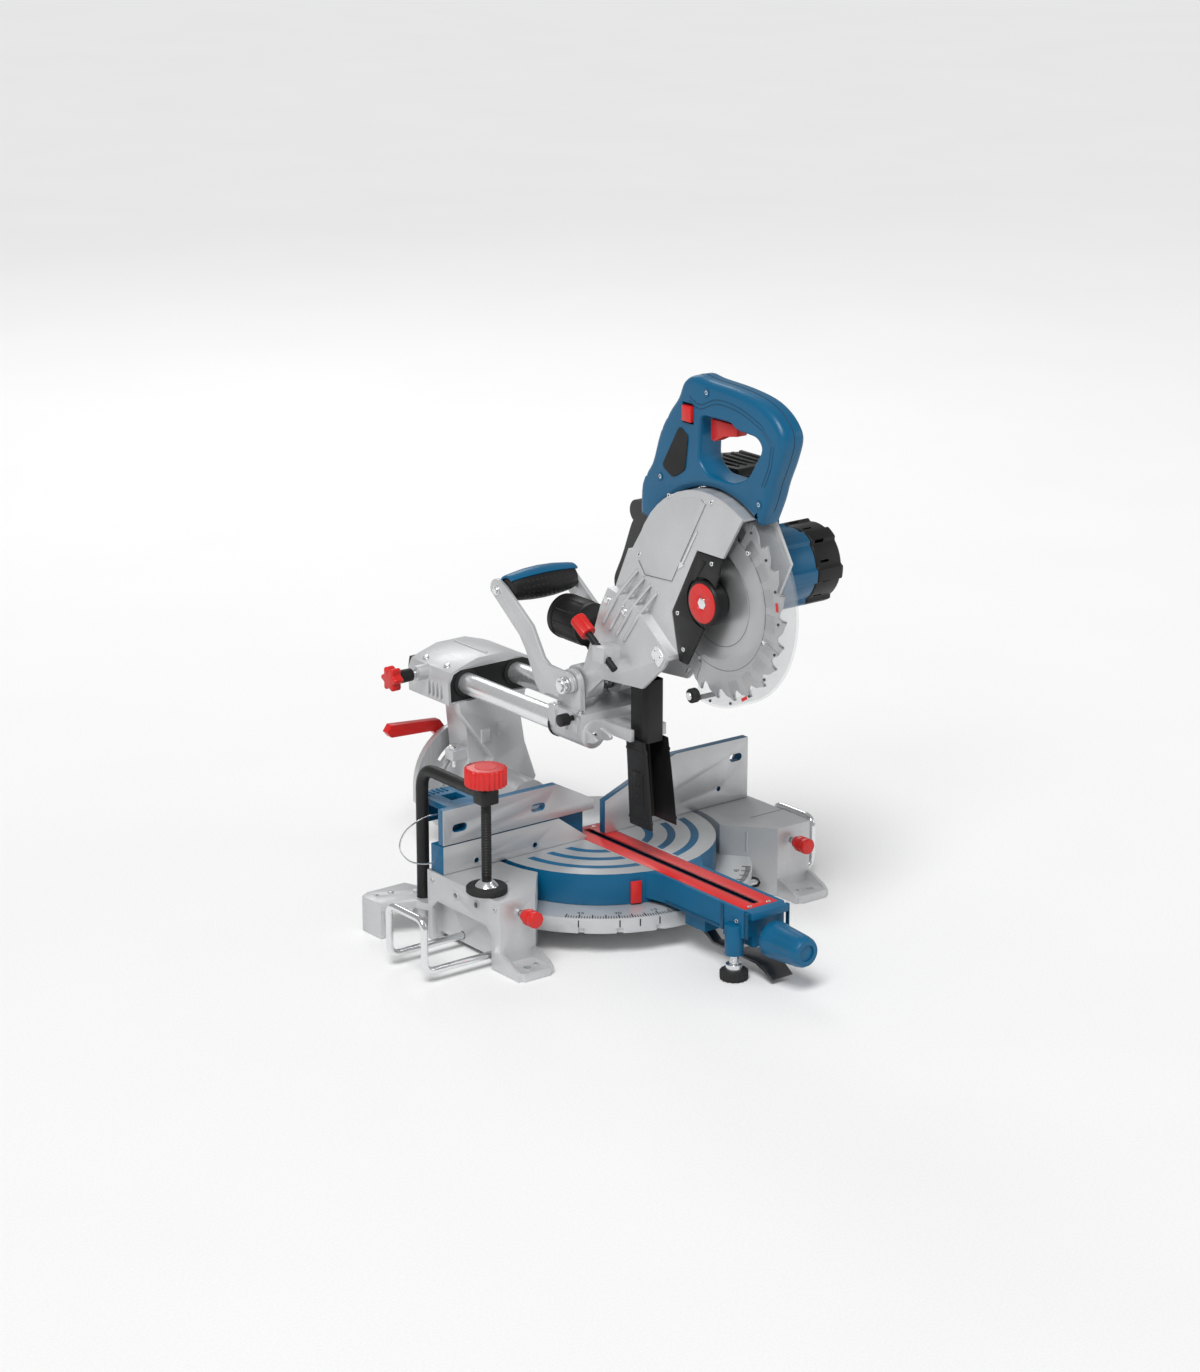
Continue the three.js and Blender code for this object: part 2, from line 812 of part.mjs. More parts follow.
// ---------------------------------------------------------------- saw head: guard and gear case
const coverOutline = [
  [-197.5, 453.5],
  [-156.5, 379],
  [-168, 327],
  [-181, 326],
  [-213.6, 380],
  [-238, 454],
];
const upperOutline = [
  ...arc(ARBOR[0], ARBOR[1], GUARD_R, 42, 121, 12),
  [-239, 455],
  [-196.6, 455],
  [-155, 379],
  [-165.6, 334],
  [-104, 378],
  [-60.5, 386],
  [-83.6, 429],
];
const lowerOutline = [
  [-60.5, 386],
  [-104, 378],
  [-165.6, 333],
  [-157, 319],
  [-121, 287],
  [-52, 281],
  [-30, 262],
  ...arc(PIVOT[0], PIVOT[1], 20, 200, 360, 8),
  ...arc(PIVOT[0], PIVOT[1], 20, 30, 120, 4),
  [-35, 330],
  [-48, 364],
];
const rightOutline = [
  ...arc(ARBOR[0], ARBOR[1], GUARD_R, 42, 121, 12),
  [-300, 455],
  [-262, 380],
  [-208, 350],
  [-168, 330],
  [-104, 378],
  [-60.5, 386],
  [-83.6, 429],
];
const rim = plate(
  "x",
  [
    ...arc(ARBOR[0], ARBOR[1], GUARD_R, 15, 121, 12),
    ...arc(ARBOR[0], ARBOR[1], GUARD_R - 3.5, 121, 15, 12),
  ],
  -GUARD_X,
  GUARD_X,
);
const stepBand = [
  [-60.5, 386.5],
  [-104, 379],
  [-165.6, 334],
  [-165.6, 329],
  [-104, 373],
  [-60.5, 380],
];
const backWall = [
  [-84.6, 431],
  [-62, 385],
  [-58, 386],
  [-80, 432],
];
const barrelBore = rod("x", PIVOT[0], PIVOT[1], 6.4, -60, 60, 16);
const stopRotation = [-57.3, 0, 0];
const stopCentre = [-50, -72, 317.4];
add(
  "upper_guard",
  cut(
    join(
      plate("x", upperOutline, -GUARD_X, -GUARD_X + 3.5),
      plate("x", rightOutline, GUARD_X - 3.5, GUARD_X),
      rim,
      plate("x", backWall, -GUARD_X, GUARD_X),
      plate("x", lowerOutline, -CHEEK_X, -CHEEK_X + 4),
      plate("x", lowerOutline, 27, 31),
      plate("x", stepBand, -CHEEK_X, -GUARD_X + 3.5),
      plate("x", stepBand, GUARD_X - 3.5, 31),
      rod("x", PIVOT[0], PIVOT[1], 20, -CHEEK_X, -13, 24),
      rod("x", PIVOT[0], PIVOT[1], 20, 13, 31, 24),
      box(-57, -CHEEK_X + 2, -82, -62, 309, 326),
    ),
    barrelBore,
    rod("x", ARBOR[0], ARBOR[1], 29, -30, 0, 24),
    rod("x", ARBOR[0], ARBOR[1], 9.5, 0, 40, 14),
    rod("z", 0, 0, 4.6, -30, 30, 10).rotate(stopRotation).translate(stopCentre),
  ),
  castMetal,
);
add(
  "guard_cover",
  cut(
    plate("x", coverOutline, -GUARD_X, -GUARD_X + 3),
    rod("x", ARBOR[0], ARBOR[1], 28, -30, 0, 24),
  ),
  blackPlastic,
);
const gearCaseSide = [
  ...arc(MOTOR[0], MOTOR[1], 42, 0, 180, 9),
  ...arc(ARBOR[0], ARBOR[1], 42, 190, 350, 9),
];
add(
  "gear_case",
  cut(
    plate("x", gearCaseSide, GUARD_X + 0.4, 50),
    rod("x", MOTOR[0], MOTOR[1] - 12, 30, 26, 46, 20),
    rod("x", MOTOR[0], MOTOR[1], 20, 40, 55, 16),
    rod("x", ARBOR[0], ARBOR[1], 9.5, 10, 30, 14),
  ),
  greyPlastic,
);

// ---------------------------------------------------------------- motor
const MOTOR_FRONT = 50.4;
const MOTOR_SPLIT = 98;
const MOTOR_END = 134;
const ribbedOutline = Array.from({ length: 36 }, (_, i) => {
  const a = (i / 36) * 2 * Math.PI;
  const r = i % 6 < 2 ? 45 : 41.5;
  return [MOTOR[0] + r * Math.cos(a), MOTOR[1] + r * Math.sin(a)];
});
const switchNeck = [
  [-178, 456],
  [-150, 450],
  [-118, 500],
  [-120, 520],
  [-196, 520],
  [-200, 466],
];
add(
  "motor_case",
  cut(
    join(
      plate("x", ribbedOutline, MOTOR_FRONT, MOTOR_SPLIT),
      plate("x", switchNeck, 54, 90),
    ),
    rod("x", MOTOR[0], MOTOR[1], 38, MOTOR_FRONT + 6, MOTOR_SPLIT + 5, 20),
    rod("x", MOTOR[0], MOTOR[1], 9, MOTOR_FRONT - 5, MOTOR_FRONT + 10, 16),
  ),
  bluePaint,
);
add(
  "motor_cap",
  cut(
    plate("x", ribbedOutline, MOTOR_SPLIT + 0.4, MOTOR_END),
    rod("x", MOTOR[0], MOTOR[1], 36, MOTOR_SPLIT - 2, MOTOR_END - 8, 20),
    rod("x", MOTOR[0], MOTOR[1], 5.5, MOTOR_END - 10, MOTOR_END - 4, 12),
  ),
  blackPlastic,
);
add("motor_stator", ring("x", MOTOR[0], MOTOR[1], 37.2, 25, 60, 94, 20), copper);
const toothed = (count, tip, root, [cy, cz]) =>
  Array.from({ length: count * 2 }, (_, i) => {
    const a = (i / (count * 2)) * 2 * Math.PI;
    const r = i % 2 === 0 ? tip : root;
    return [cy + r * Math.cos(a), cz + r * Math.sin(a)];
  });
add(
  "motor_rotor",
  join(
    rod("x", MOTOR[0], MOTOR[1], 3.2, 28, MOTOR_END - 5, 12),
    rod("x", MOTOR[0], MOTOR[1], 23, 61, 93, 16),
    plate("x", toothed(10, 4.85, 3.8, MOTOR), 29, 40),
    rod("x", MOTOR[0], MOTOR[1], 18, 98, 110, 12),
  ),
  darkSteel,
);
const electronicsSide = [
  [-112, 486],
  [-62, 480],
  [-56, 470],
  [-26, 446],
  [-8, 402],
  [8, 372],
  [2, 352],
  [-24, 350],
  [-50, 392],
  [-80, 436],
];
add(
  "electronics_housing",
  join(
    plate("x", electronicsSide, 24, 66),
    rod("x", -34, 456, 13, 26, 62, 16),
  ),
  greyPlastic,
);
const batterySide = [
  [-118, 528],
  [-188, 531],
  [-192, 524],
  [-190, 521],
  [-120, 521],
  [-100, 500],
  [-86, 488],
  [-60, 483],
  [-60, 500],
  [-84, 520],
];
add("battery", plate("x", batterySide, 40, 100), greyPlastic);

// ---------------------------------------------------------------- main handle
const handleOutline = [
  ...arc(ARBOR[0], ARBOR[1], GUARD_R + 1.2, 32, 127, 14).reverse(),
  [-84, 469],
  [-86, 505],
  [-103, 531],
  [-116, 566],
  [-132, 591],
  [-146, 608],
  [-156, 627],
  [-174, 636],
  [-196, 634],
  [-240, 632],
  [-276, 627],
  [-300, 617],
  [-315, 603],
  [-319, 589],
  [-312, 567],
  [-301, 543],
  [-294, 523],
  [-283, 500],
];
const handleWindow = [
  [-184, 574],
  [-184, 547],
  [-201, 534],
  [-242, 534],
  [-264, 544],
  [-287, 579],
  [-278, 589],
  [-228, 590],
];
const triggerBay = [
  [-183, 560],
  [-183, 602],
  [-238, 602],
  [-238, 575],
  [-190, 560],
];
add(
  "handle",
  cut(
    plate("x", handleOutline, -11, 21),
    plate("x", handleWindow, -20, 30),
    plate("x", triggerBay, -3, 13),
    box(-20, 0, -176, -157, 584, 606),
  ),
  bluePaint,
);
const triggerSide = [
  [-193, 571],
  [-198, 569],
  [-214, 577],
  [-236, 581],
  [-236, 593],
  [-193, 593],
];
add("trigger", plate("x", triggerSide, -2, 12), redPlastic);
add("lock_off_button", box(-14, -4, -174, -159, 586, 603), redPlastic);

// ---------------------------------------------------------------- blade and arbor
// One tooth: fractions of the tooth pitch and depths below the tips.
const toothPoints = [
  [0, 0],
  [0.22, 3],
  [0.5, 11],
  [0.9, 10],
];
const bladeOutline = Array.from({ length: TEETH * 4 }, (_, i) => {
  const [step, depth] = toothPoints[i % 4];
  const a = ((Math.floor(i / 4) + step) / TEETH) * 2 * Math.PI;
  const r = BLADE_R - depth;
  return [ARBOR[0] + r * Math.cos(a), ARBOR[1] + r * Math.sin(a)];
});
add(
  "blade",
  cut(plate("x", bladeOutline, -1.1, 1.1), rod("x", ARBOR[0], ARBOR[1], 8.4, -3, 3, 12)),
  bladeSteel,
);
add(
  "arbor",
  join(rod("x", ARBOR[0], ARBOR[1], 8, -12, 43, 12), rod("x", ARBOR[0], ARBOR[1], 20, 1.4, 8, 16)),
  darkSteel,
);
const discProfile = [
  [0, -1.4],
  [18, -1.4],
  [18, -7],
  [25, -9],
  [25, -22],
  [23, -25],
  [0, -25],
];
add(
  "clamp_disc",
  cut(
    turned("x", ARBOR[0], ARBOR[1], discProfile, 20),
    rod("x", ARBOR[0], ARBOR[1], 8.4, -12.4, 2, 12),
  ),
  redPlastic,
);
add(
  "drive_gear",
  cut(
    plate("x", toothed(34, 16.9, 15.4, ARBOR), 29, 40),
    rod("x", ARBOR[0], ARBOR[1], 8.4, 20, 50, 12),
  ),
  darkSteel,
);

// ---------------------------------------------------------------- lower guard
const sector = (outer, inner, first, last, steps) => [
  ...arc(ARBOR[0], ARBOR[1], outer, first, last, steps),
  ...arc(ARBOR[0], ARBOR[1], inner, last, first, steps),
];
add(
  "lower_guard",
  join(
    plate("x", sector(LOWER_GUARD_R, LOWER_GUARD_R - 2.4, 100, 282, 14), -12, 12),
    plate("x", sector(LOWER_GUARD_R, 62, 100, 282, 14), -12, -10.4),
    plate("x", sector(LOWER_GUARD_R, 25, 100, 282, 14), 10.4, 12),
    ring("x", ARBOR[0], ARBOR[1], 34, 24, 10.4, 12, 18),
    rod("x", -185, 292, 2.4, -22, -11, 10),
  ),
  clearPlastic,
);
add("guard_roller", ring("x", -185, 292, 8, 2.9, -20, -12.4, 12), blackPlastic);

// ---------------------------------------------------------------- depth stop
const stopProfile = [
  [0, -24],
  [4, -24],
  [4, 30],
  [8.5, 30],
  [9, 34],
  [9, 52],
  [7, 54],
  [0, 54],
];
const stopScrew = turned("z", 0, 0, stopProfile, 10);
add("depth_stop_screw", stopScrew.rotate(stopRotation).translate(stopCentre), redPlastic);

// ---------------------------------------------------------------- extension bars and their knobs
for (const [name, side, outer] of [["ext_bar_left", -1, 300], ["ext_bar_right", 1, 240]]) {
  const path = new RoundedPath(
    [
      [side * (outer - 130), BAR_Y[0], BAR_Z],
      [side * outer, BAR_Y[0], BAR_Z],
      [side * outer, BAR_Y[0], BAR_TOP],
      [side * outer, BAR_Y[1], BAR_TOP],
      [side * outer, BAR_Y[1], BAR_Z],
      [side * (outer - 130), BAR_Y[1], BAR_Z],
    ],
    12,
  );
  add(name, bar(path, BAR_R, 28, 6), brightSteel);
}
const barKnob = [
  [0, -139],
  [7, -139],
  [9, -135],
  [9, -122],
  [6, -117],
  [0, -117],
];
for (const [name, side] of [["bar_knob_left", -1], ["bar_knob_right", 1]]) {
  const x = side * BAR_KNOB[0];
  add(
    name,
    join(
      turned("y", x, BAR_KNOB[1], barKnob, 8),
      rod("y", x, BAR_KNOB[1], 3, -119, TOWER_FRONT + 10, 8),
    ),
    redPlastic,
  );
}

// ---------------------------------------------------------------- hold-down clamp
const spindleY = CLAMP_POST[1] - CLAMP_REACH;
const postPath = new RoundedPath(
  [
    [CLAMP_POST[0], CLAMP_POST[1], 25],
    [CLAMP_POST[0], CLAMP_POST[1], CLAMP_ARM_Z],
    [CLAMP_POST[0], spindleY + 4, CLAMP_ARM_Z],
  ],
  22,
);
add(
  "clamp_post",
  cut(
    join(
      bar(postPath, CLAMP_R, 16, 10),
      rod("z", CLAMP_POST[0], spindleY, 10, 182, 198, 16),
    ),
    rod("z", CLAMP_POST[0], spindleY, 5.9, 170, 205, 12),
  ),
  blackPlastic,
);
add("clamp_spindle", rod("z", CLAMP_POST[0], spindleY, 5.4, 94, 198.4, 12), darkSteel);
const clampKnob = [
  [0, 198.7],
  [19, 198.7],
  [23, 201],
  [23, 219],
  [20, 222],
  [0, 222],
];
const clampPad = [
  [0, 80.4],
  [21, 80.4],
  [22.5, 82],
  [22.5, 88],
  [18, 89],
  [7, 93.6],
  [0, 93.6],
];
add("clamp_knob", turned("z", CLAMP_POST[0], spindleY, clampKnob, 18), redPlastic);
add("clamp_pad", turned("z", CLAMP_POST[0], spindleY, clampPad, 18), blackPlastic);

export default saw;
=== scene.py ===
"""Looks of the sliding mitre saw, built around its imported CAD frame.

Shapes are written in millimetres from the turntable's axis on the bench; FRAME_SHIFT and MM turn
them into the frame's metres.
"""

from math import cos, pi, radians, sin

import bmesh
import bpy
from mathutils import Matrix, Vector


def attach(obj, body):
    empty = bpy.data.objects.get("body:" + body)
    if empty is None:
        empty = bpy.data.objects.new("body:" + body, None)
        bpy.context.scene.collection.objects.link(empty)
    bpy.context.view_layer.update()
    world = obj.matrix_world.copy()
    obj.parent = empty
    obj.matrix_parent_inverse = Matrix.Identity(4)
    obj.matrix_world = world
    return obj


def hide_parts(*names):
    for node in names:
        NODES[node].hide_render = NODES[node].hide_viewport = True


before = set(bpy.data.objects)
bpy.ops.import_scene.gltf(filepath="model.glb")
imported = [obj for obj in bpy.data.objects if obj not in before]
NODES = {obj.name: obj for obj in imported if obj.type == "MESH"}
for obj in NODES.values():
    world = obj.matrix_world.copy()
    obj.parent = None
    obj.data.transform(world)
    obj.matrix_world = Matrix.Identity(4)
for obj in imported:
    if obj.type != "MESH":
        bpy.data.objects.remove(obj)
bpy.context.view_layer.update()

MM = 0.001
FRAME_SHIFT = Vector((21.5, 29.5, 0.0))
CAMERA_PLACE = Vector((-2.3715, -3.0805, 1.477))
CAMERA_AZIMUTH = -37.592
CAMERA_ELEVATION = 17.314
FLOOR_HALF = 25
PAPER = (0.88, 0.88, 0.88)

MITRE_Z = 48
RAIL_Z = 214
KERF_EDGE = 5.4
TEETH = 24
# Axes of round parts: (y, z) for those along x, (x, y) for CLAMP and FOOT, (x, z) for PORT.
RAIL_LOCK = (250, 221)
ARBOR = (-208, 400)
MOTOR = (-208, 422)
GRIP = (108, 349)
GRIP_PIN = (122, 345)
ROLLER = (-185, 292)
CLAMP = (-208, -73)
FOOT = (-28, -272)
PORT = (19, 312)


# ------------------------------------------------------------------ camera, lights, floor
def set_camera():
    data = bpy.data.cameras.new("camera")
    data.lens = 97.57
    data.sensor_width = 36
    data.clip_end = 60
    camera = bpy.data.objects.new("camera", data)
    bpy.context.scene.collection.objects.link(camera)
    a, e = radians(CAMERA_AZIMUTH), radians(CAMERA_ELEVATION)
    back = Vector((sin(a) * cos(e), -cos(a) * cos(e), sin(e)))
    camera.location = CAMERA_PLACE
    camera.rotation_euler = back.to_track_quat("Z", "Y").to_euler()
    bpy.context.scene.camera = camera


def soft_light(name, place, size, power, target=(0, 0, 0.25)):
    data = bpy.data.lights.new(name, "AREA")
    data.shape = "DISK"
    data.size = size
    data.energy = power
    lamp = bpy.data.objects.new(name, data)
    bpy.context.scene.collection.objects.link(lamp)
    lamp.location = place
    lamp.rotation_euler = (Vector(place) - Vector(target)).to_track_quat("Z", "Y").to_euler()


def set_stage():
    world = bpy.data.worlds.new("studio")
    bpy.context.scene.world = world
    world.use_nodes = True
    background = world.node_tree.nodes["Background"]
    background.inputs["Color"].default_value = (1, 1, 1, 1)
    background.inputs["Strength"].default_value = 0.37
    sun = bpy.data.lights.new("sun", "SUN")
    sun.energy = 2.15
    sun.angle = radians(24)
    high = bpy.data.objects.new("sun", sun)
    high.rotation_euler = Vector((-1.5, -1.3, 2.9)).to_track_quat("Z", "Y").to_euler()
    bpy.context.scene.collection.objects.link(high)
    soft_light("key", (-2.4, -1.6, 2.6), 0.9, 16)
    soft_light("fill", (2.8, -2.0, 1.4), 1.6, 9)
    soft_light("back", (1.2, 2.6, 2.2), 1.4, 16)
    bpy.context.scene.view_settings.view_transform = "Standard"
    mesh = bpy.data.meshes.new("floor")
    corners = [(x * FLOOR_HALF, y * FLOOR_HALF, 0) for x, y in ((-1, -1), (1, -1), (1, 1), (-1, 1))]
    mesh.from_pydata(corners, [], [(0, 1, 2, 3)])
    floor = bpy.data.objects.new("floor", mesh)
    floor.location.z = -0.0005
    bpy.context.scene.collection.objects.link(floor)
    floor.data.materials.append(
        surface("floor_paper", PAPER, 0.95, spread=0.01, patches=3, grain=400, bump=0.02)
    )


# ------------------------------------------------------------------ materials
class Graph:
    """Short calls for building one material's nodes."""

    def __init__(self, name):
        self.material = bpy.data.materials.new(name)
        self.material.use_nodes = True
        self.tree = self.material.node_tree
        self.shader = self.tree.nodes["Principled BSDF"]
        self.coordinates = self.node("ShaderNodeTexCoord").outputs["Object"]

    def node(self, kind, **settings):
        made = self.tree.nodes.new(kind)
        for key, value in settings.items():
            setattr(made, key, value)
        return made

    def feed(self, socket, value):
        if isinstance(value, bpy.types.NodeSocket):
            self.tree.links.new(value, socket)
        else:
            socket.default_value = value

    def math(self, operation, *values, clamp=False):
        made = self.node("ShaderNodeMath", operation=operation, use_clamp=clamp)
        for socket, value in zip(made.inputs, values):
            self.feed(socket, value)
        return made.outputs[0]

    def xyz(self, source=None):
        made = self.node("ShaderNodeSeparateXYZ")
        self.feed(made.inputs[0], source or self.coordinates)
        return made.outputs

    def stretched(self, scale):
        made = self.node("ShaderNodeMapping")
        made.inputs["Scale"].default_value = scale
        self.feed(made.inputs["Vector"], self.coordinates)
        return made.outputs[0]

    def noise(self, scale, detail=3.0, vector=None, roughness=0.5):
        made = self.node("ShaderNodeTexNoise")
        self.feed(made.inputs["Vector"], vector or self.coordinates)
        made.inputs["Scale"].default_value = scale
        made.inputs["Detail"].default_value = detail
        made.inputs["Roughness"].default_value = roughness
        return made.outputs["Fac"]

    def remap(self, value, low, high, start=0.0, stop=1.0):
        made = self.node("ShaderNodeMapRange")
        for socket, number in zip(made.inputs, (value, low, high, start, stop)):
            self.feed(socket, number)
        return made.outputs[0]

    def mix(self, factor, first, second, blend="MIX"):
        made = self.node("ShaderNodeMix", data_type="RGBA", blend_type=blend)
        self.feed(made.inputs[0], factor)
        for socket, value in zip((made.inputs[6], made.inputs[7]), (first, second)):
            if isinstance(value, tuple):
                value = (*value[:3], 1)
            self.feed(socket, value)
        return made.outputs[2]

    def saw_xyz(self):
        """Millimetres from the turntable's axis, as three sockets."""
        return [
            self.math("SUBTRACT", self.math("MULTIPLY", value, 1000), offset)
            for value, offset in zip(self.xyz(), FRAME_SHIFT)
        ]

    def band(self, value, middle, half):
        """1 within half of middle, with a thin soft edge."""
        distance = self.math("ABSOLUTE", self.math("SUBTRACT", value, middle))
        return self.remap(distance, half - 0.15, half + 0.15, 1.0, 0.0)

    def above(self, value, limit):
        return self.remap(value, limit - 0.1, limit + 0.1)

    def below(self, value, limit):
        return self.remap(value, limit - 0.1, limit + 0.1, 1.0, 0.0)

    def both(self, *masks):
        result = masks[0]
        for mask in masks[1:]:
            result = self.math("MULTIPLY", result, mask)
        return result

    def either(self, *masks):
        result = masks[0]
        for mask in masks[1:]:
            result = self.math("MAXIMUM", result, mask)
        return result

    def rings(self, radius):
        """A vector that changes only with the radius, for turning marks."""
        made = self.node("ShaderNodeCombineXYZ")
        self.feed(made.inputs[0], self.math("MULTIPLY", radius, 1.6))
        return made.outputs[0]

    def grey(self, value):
        made = self.node("ShaderNodeCombineColor")
        for socket in made.inputs[:3]:
            self.feed(socket, value)
        return made.outputs[0]

    def length(self, u, v):
        return self.math(
            "SQRT", self.math("ADD", self.math("MULTIPLY", u, u), self.math("MULTIPLY", v, v))
        )

    def facing(self, axis):
        """How much the surface faces +x, +y or +z, from -1 to 1."""
        return self.xyz(self.node("ShaderNodeNewGeometry").outputs["Normal"])[axis]


def scaled(colour, factor):
    return tuple(min(1.0, c * factor) for c in colour[:3])


def surface(
    name,
    colour,
    rough,
    metal=0.0,
    spread=0.07,
    patches=16,
    grain=900,
    bump=0.12,
    depth=0.0003,
    coat=0.0,
    stretch=None,
    scuffs=0.0,
    paint=None,
):
    """A procedural surface.

    It has two tints in soft patches, fine grain in roughness and height, scuffs and painted areas.
    """
    g = Graph(name)
    vector = g.stretched(stretch) if stretch else None
    tint = g.remap(g.noise(patches, 4), 0.3, 0.7)
    base = g.mix(tint, scaled(colour, 1 - spread), scaled(colour, 1 + spread))
    fine = g.noise(grain, 2, vector)
    base = g.mix(g.remap(fine, 0.35, 0.65, 0.0, 0.25), base, scaled(colour, 0.82))
    rough_out = g.remap(fine, 0.3, 0.7, rough - 0.05, rough + 0.07)
    metal_out = metal
    if paint:
        base, rough_out, metal_out = paint(g, base, rough_out, metal)
    if scuffs:
        worn = g.remap(g.noise(190, 6, g.stretched((1, 1, 0.35)), 0.7), 0.66, 0.74, 0.0, scuffs)
        base = g.mix(worn, base, (0.62, 0.63, 0.64))
        smudge = g.remap(g.noise(34, 5), 0.45, 0.75, 0.0, 0.12)
        rough_out = g.math("ADD", rough_out, smudge, clamp=True)
    g.feed(g.shader.inputs["Base Color"], base)
    g.feed(g.shader.inputs["Roughness"], rough_out)
    g.feed(g.shader.inputs["Metallic"], metal_out)
    g.shader.inputs["Specular IOR Level"].default_value = 0.5 if metal else 0.32
    g.shader.inputs["Coat Weight"].default_value = coat
    g.shader.inputs["Coat Roughness"].default_value = 0.12
    relief = g.node("ShaderNodeBump")
    relief.inputs["Strength"].default_value = bump
    relief.inputs["Distance"].default_value = depth
    g.feed(relief.inputs["Height"], fine)
    g.feed(g.shader.inputs["Normal"], relief.outputs[0])
    return g.material


SILVER = (0.59, 0.6, 0.61)
BLUE = (0.0004, 0.1, 0.215)
RED = (0.62, 0.016, 0.014)
BLACK = (0.011, 0.011, 0.0115)


def table_paint(g, base, rough, metal):
    """Silver table top with blue arcs, and a silver rear trunnion, on the blue turntable."""
    x, y, z = g.saw_xyz()
    radius = g.length(x, y)
    top = g.both(g.above(g.facing(2), 0.7), g.above(z, 79.2), g.below(radius, 131.5))
    arcs = g.either(*[g.band(radius, r, 4.6) for r in (107, 81, 56)])
    side = g.math("ABSOLUTE", x)
    arcs = g.both(arcs, g.below(y, -14), g.above(side, 25))
    silver = g.either(g.both(top, g.math("SUBTRACT", 1.0, arcs)), g.above(y, 124))
    turning = g.remap(g.noise(1.0, 2, g.rings(radius)), 0.3, 0.7, 0.9, 1.08)
    bright = g.mix(1.0, SILVER, g.grey(turning), "MULTIPLY")
    return (
        g.mix(silver, base, bright),
        g.math("ADD", rough, g.math("MULTIPLY", silver, 0.02)),
        g.math("MULTIPLY", silver, 0.7),
    )


def fence_paint(g, base, rough, metal):
    """Silver working face with blue edges and back."""
    _, y, _ = g.saw_xyz()
    face = g.both(g.below(g.facing(1), -0.7), g.below(y, 0))
    return g.mix(face, base, SILVER), rough, g.math("MULTIPLY", face, 0.65)


def blue_rim_paint(g, base, rough, metal):
    """Silver front and back, with blue narrow edges."""
    face = g.above(g.math("ABSOLUTE", g.facing(1)), 0.5)
    return g.mix(face, BLUE, base), rough, g.math("MULTIPLY", face, metal)


def blade_paint(g, base, rough, metal):
    """Circular grinding marks and two printed rings on the blade."""
    _, y, z = g.saw_xyz()
    radius = g.length(g.math("SUBTRACT", y, ARBOR[0]), g.math("SUBTRACT", z, ARBOR[1]))
    marks = g.remap(g.noise(1.0, 3, g.rings(radius)), 0.25, 0.75, 0.72, 1.12)
    base = g.mix(1.0, base, g.grey(marks), "MULTIPLY")
    printed = g.either(g.band(radius, 76, 0.5), g.band(radius, 50, 0.4))
    base = g.mix(g.math("MULTIPLY", printed, 0.8), base, (0.05, 0.05, 0.055))
    return base, g.math("ADD", rough, g.math("MULTIPLY", printed, 0.2)), metal


def build_surfaces():
    made = {
        "silver": surface("cast_silver", SILVER, 0.4, 0.5, 0.04, 20, 700, 0.2, scuffs=0.12),
        "machined": surface("machined_face", (0.6, 0.61, 0.62), 0.3, 0.85, stretch=(1, 1, 30),
                            grain=300),
        "chrome": surface("bright_steel", (0.8, 0.81, 0.82), 0.17, 0.95, 0.03, grain=500,
                          bump=0.03),
        "rail": surface("ground_rail", (0.84, 0.85, 0.86), 0.27, 0.8, 0.03, grain=260, bump=0.04,
                        stretch=(1, 40, 1)),
        "blade": surface("blade_steel", (0.56, 0.57, 0.58), 0.34, 0.75, 0.04, bump=0.015,
                         paint=blade_paint),
        "carbide": surface("carbide", (0.22, 0.22, 0.23), 0.35, 0.9, grain=1500),
        "blue": surface("blue_shell", BLUE, 0.34, 0.0, 0.08, 14, 1300, 0.22, 0.0002, 0.08,
                        scuffs=0.04),
        # Blue darkened to 0.6: painted shade, worn by the turntable arm's side strips and the
        # handle's grip lines.
        "blue_painted_shade": surface("blue_painted_shade", scaled(BLUE, 0.6), 0.4, 0.0, 0.08, 14, 1300, 0.2),
        "table": surface("table_top", BLUE, 0.36, 0.0, 0.07, 14, 1100, 0.14, scuffs=0.1,
                         paint=table_paint),
        "fence": surface("fence_face", BLUE, 0.36, 0.0, 0.06, 14, 1100, 0.14, scuffs=0.1,
                         paint=fence_paint),
        "fence_edge": surface("fence_edge", SILVER, 0.36, 0.7, 0.05, 18, 800, 0.14, scuffs=0.15,
                              paint=blue_rim_paint),
        "red": surface("red_plastic", RED, 0.34, 0.0, 0.08, 20, 1200, 0.16, 0.0002, 0.2),
        "black": surface("black_plastic", BLACK, 0.42, 0.0, 0.25, 22, 1200, 0.3, 0.0003,
                         scuffs=0.03),
        "rubber": surface("soft_rubber", (0.02, 0.02, 0.02), 0.72, 0.0, 0.2, 30, 1500, 0.5),
        "grey": surface("grey_plastic", (0.045, 0.045, 0.046), 0.5, 0.0, 0.2, 22, 1100, 0.35),
        "dark": surface("dark_steel", (0.09, 0.09, 0.095), 0.32, 0.9, 0.15, 26, 800, 0.15),
        "copper": surface("copper_winding", (0.5, 0.19, 0.08), 0.35, 0.9, 0.15, 60, 1800, 0.6,
                          stretch=(30, 1, 1)),
        "ink": surface("ink", (0.02, 0.02, 0.022), 0.55, grain=1500),
        "spring": surface("spring_steel", (0.2, 0.2, 0.21), 0.28, 1.0, 0.1, 30, 900, 0.1),
    }
    clear = surface("clear_plastic", (0.5, 0.52, 0.54), 0.1, 0.0, 0.04, 18, 700, 0.06)
    clear.node_tree.nodes["Principled BSDF"].inputs["Alpha"].default_value = 0.16
    made["clear"] = clear
    return made


# ------------------------------------------------------------------ shapes
def circle(cu, cv, r, n, start=0.0, sweep=360.0):
    count = n if sweep == 360.0 else n + 1
    step = radians(sweep) / n
    first = radians(start)
    return [
        (cu + r * cos(first + step * i), cv + r * sin(first + step * i))
        for i in range(count)
    ]


def place(axis, u, v, w):
    return {"x": (w, u, v), "y": (u, w, v), "z": (u, v, w)}[axis]


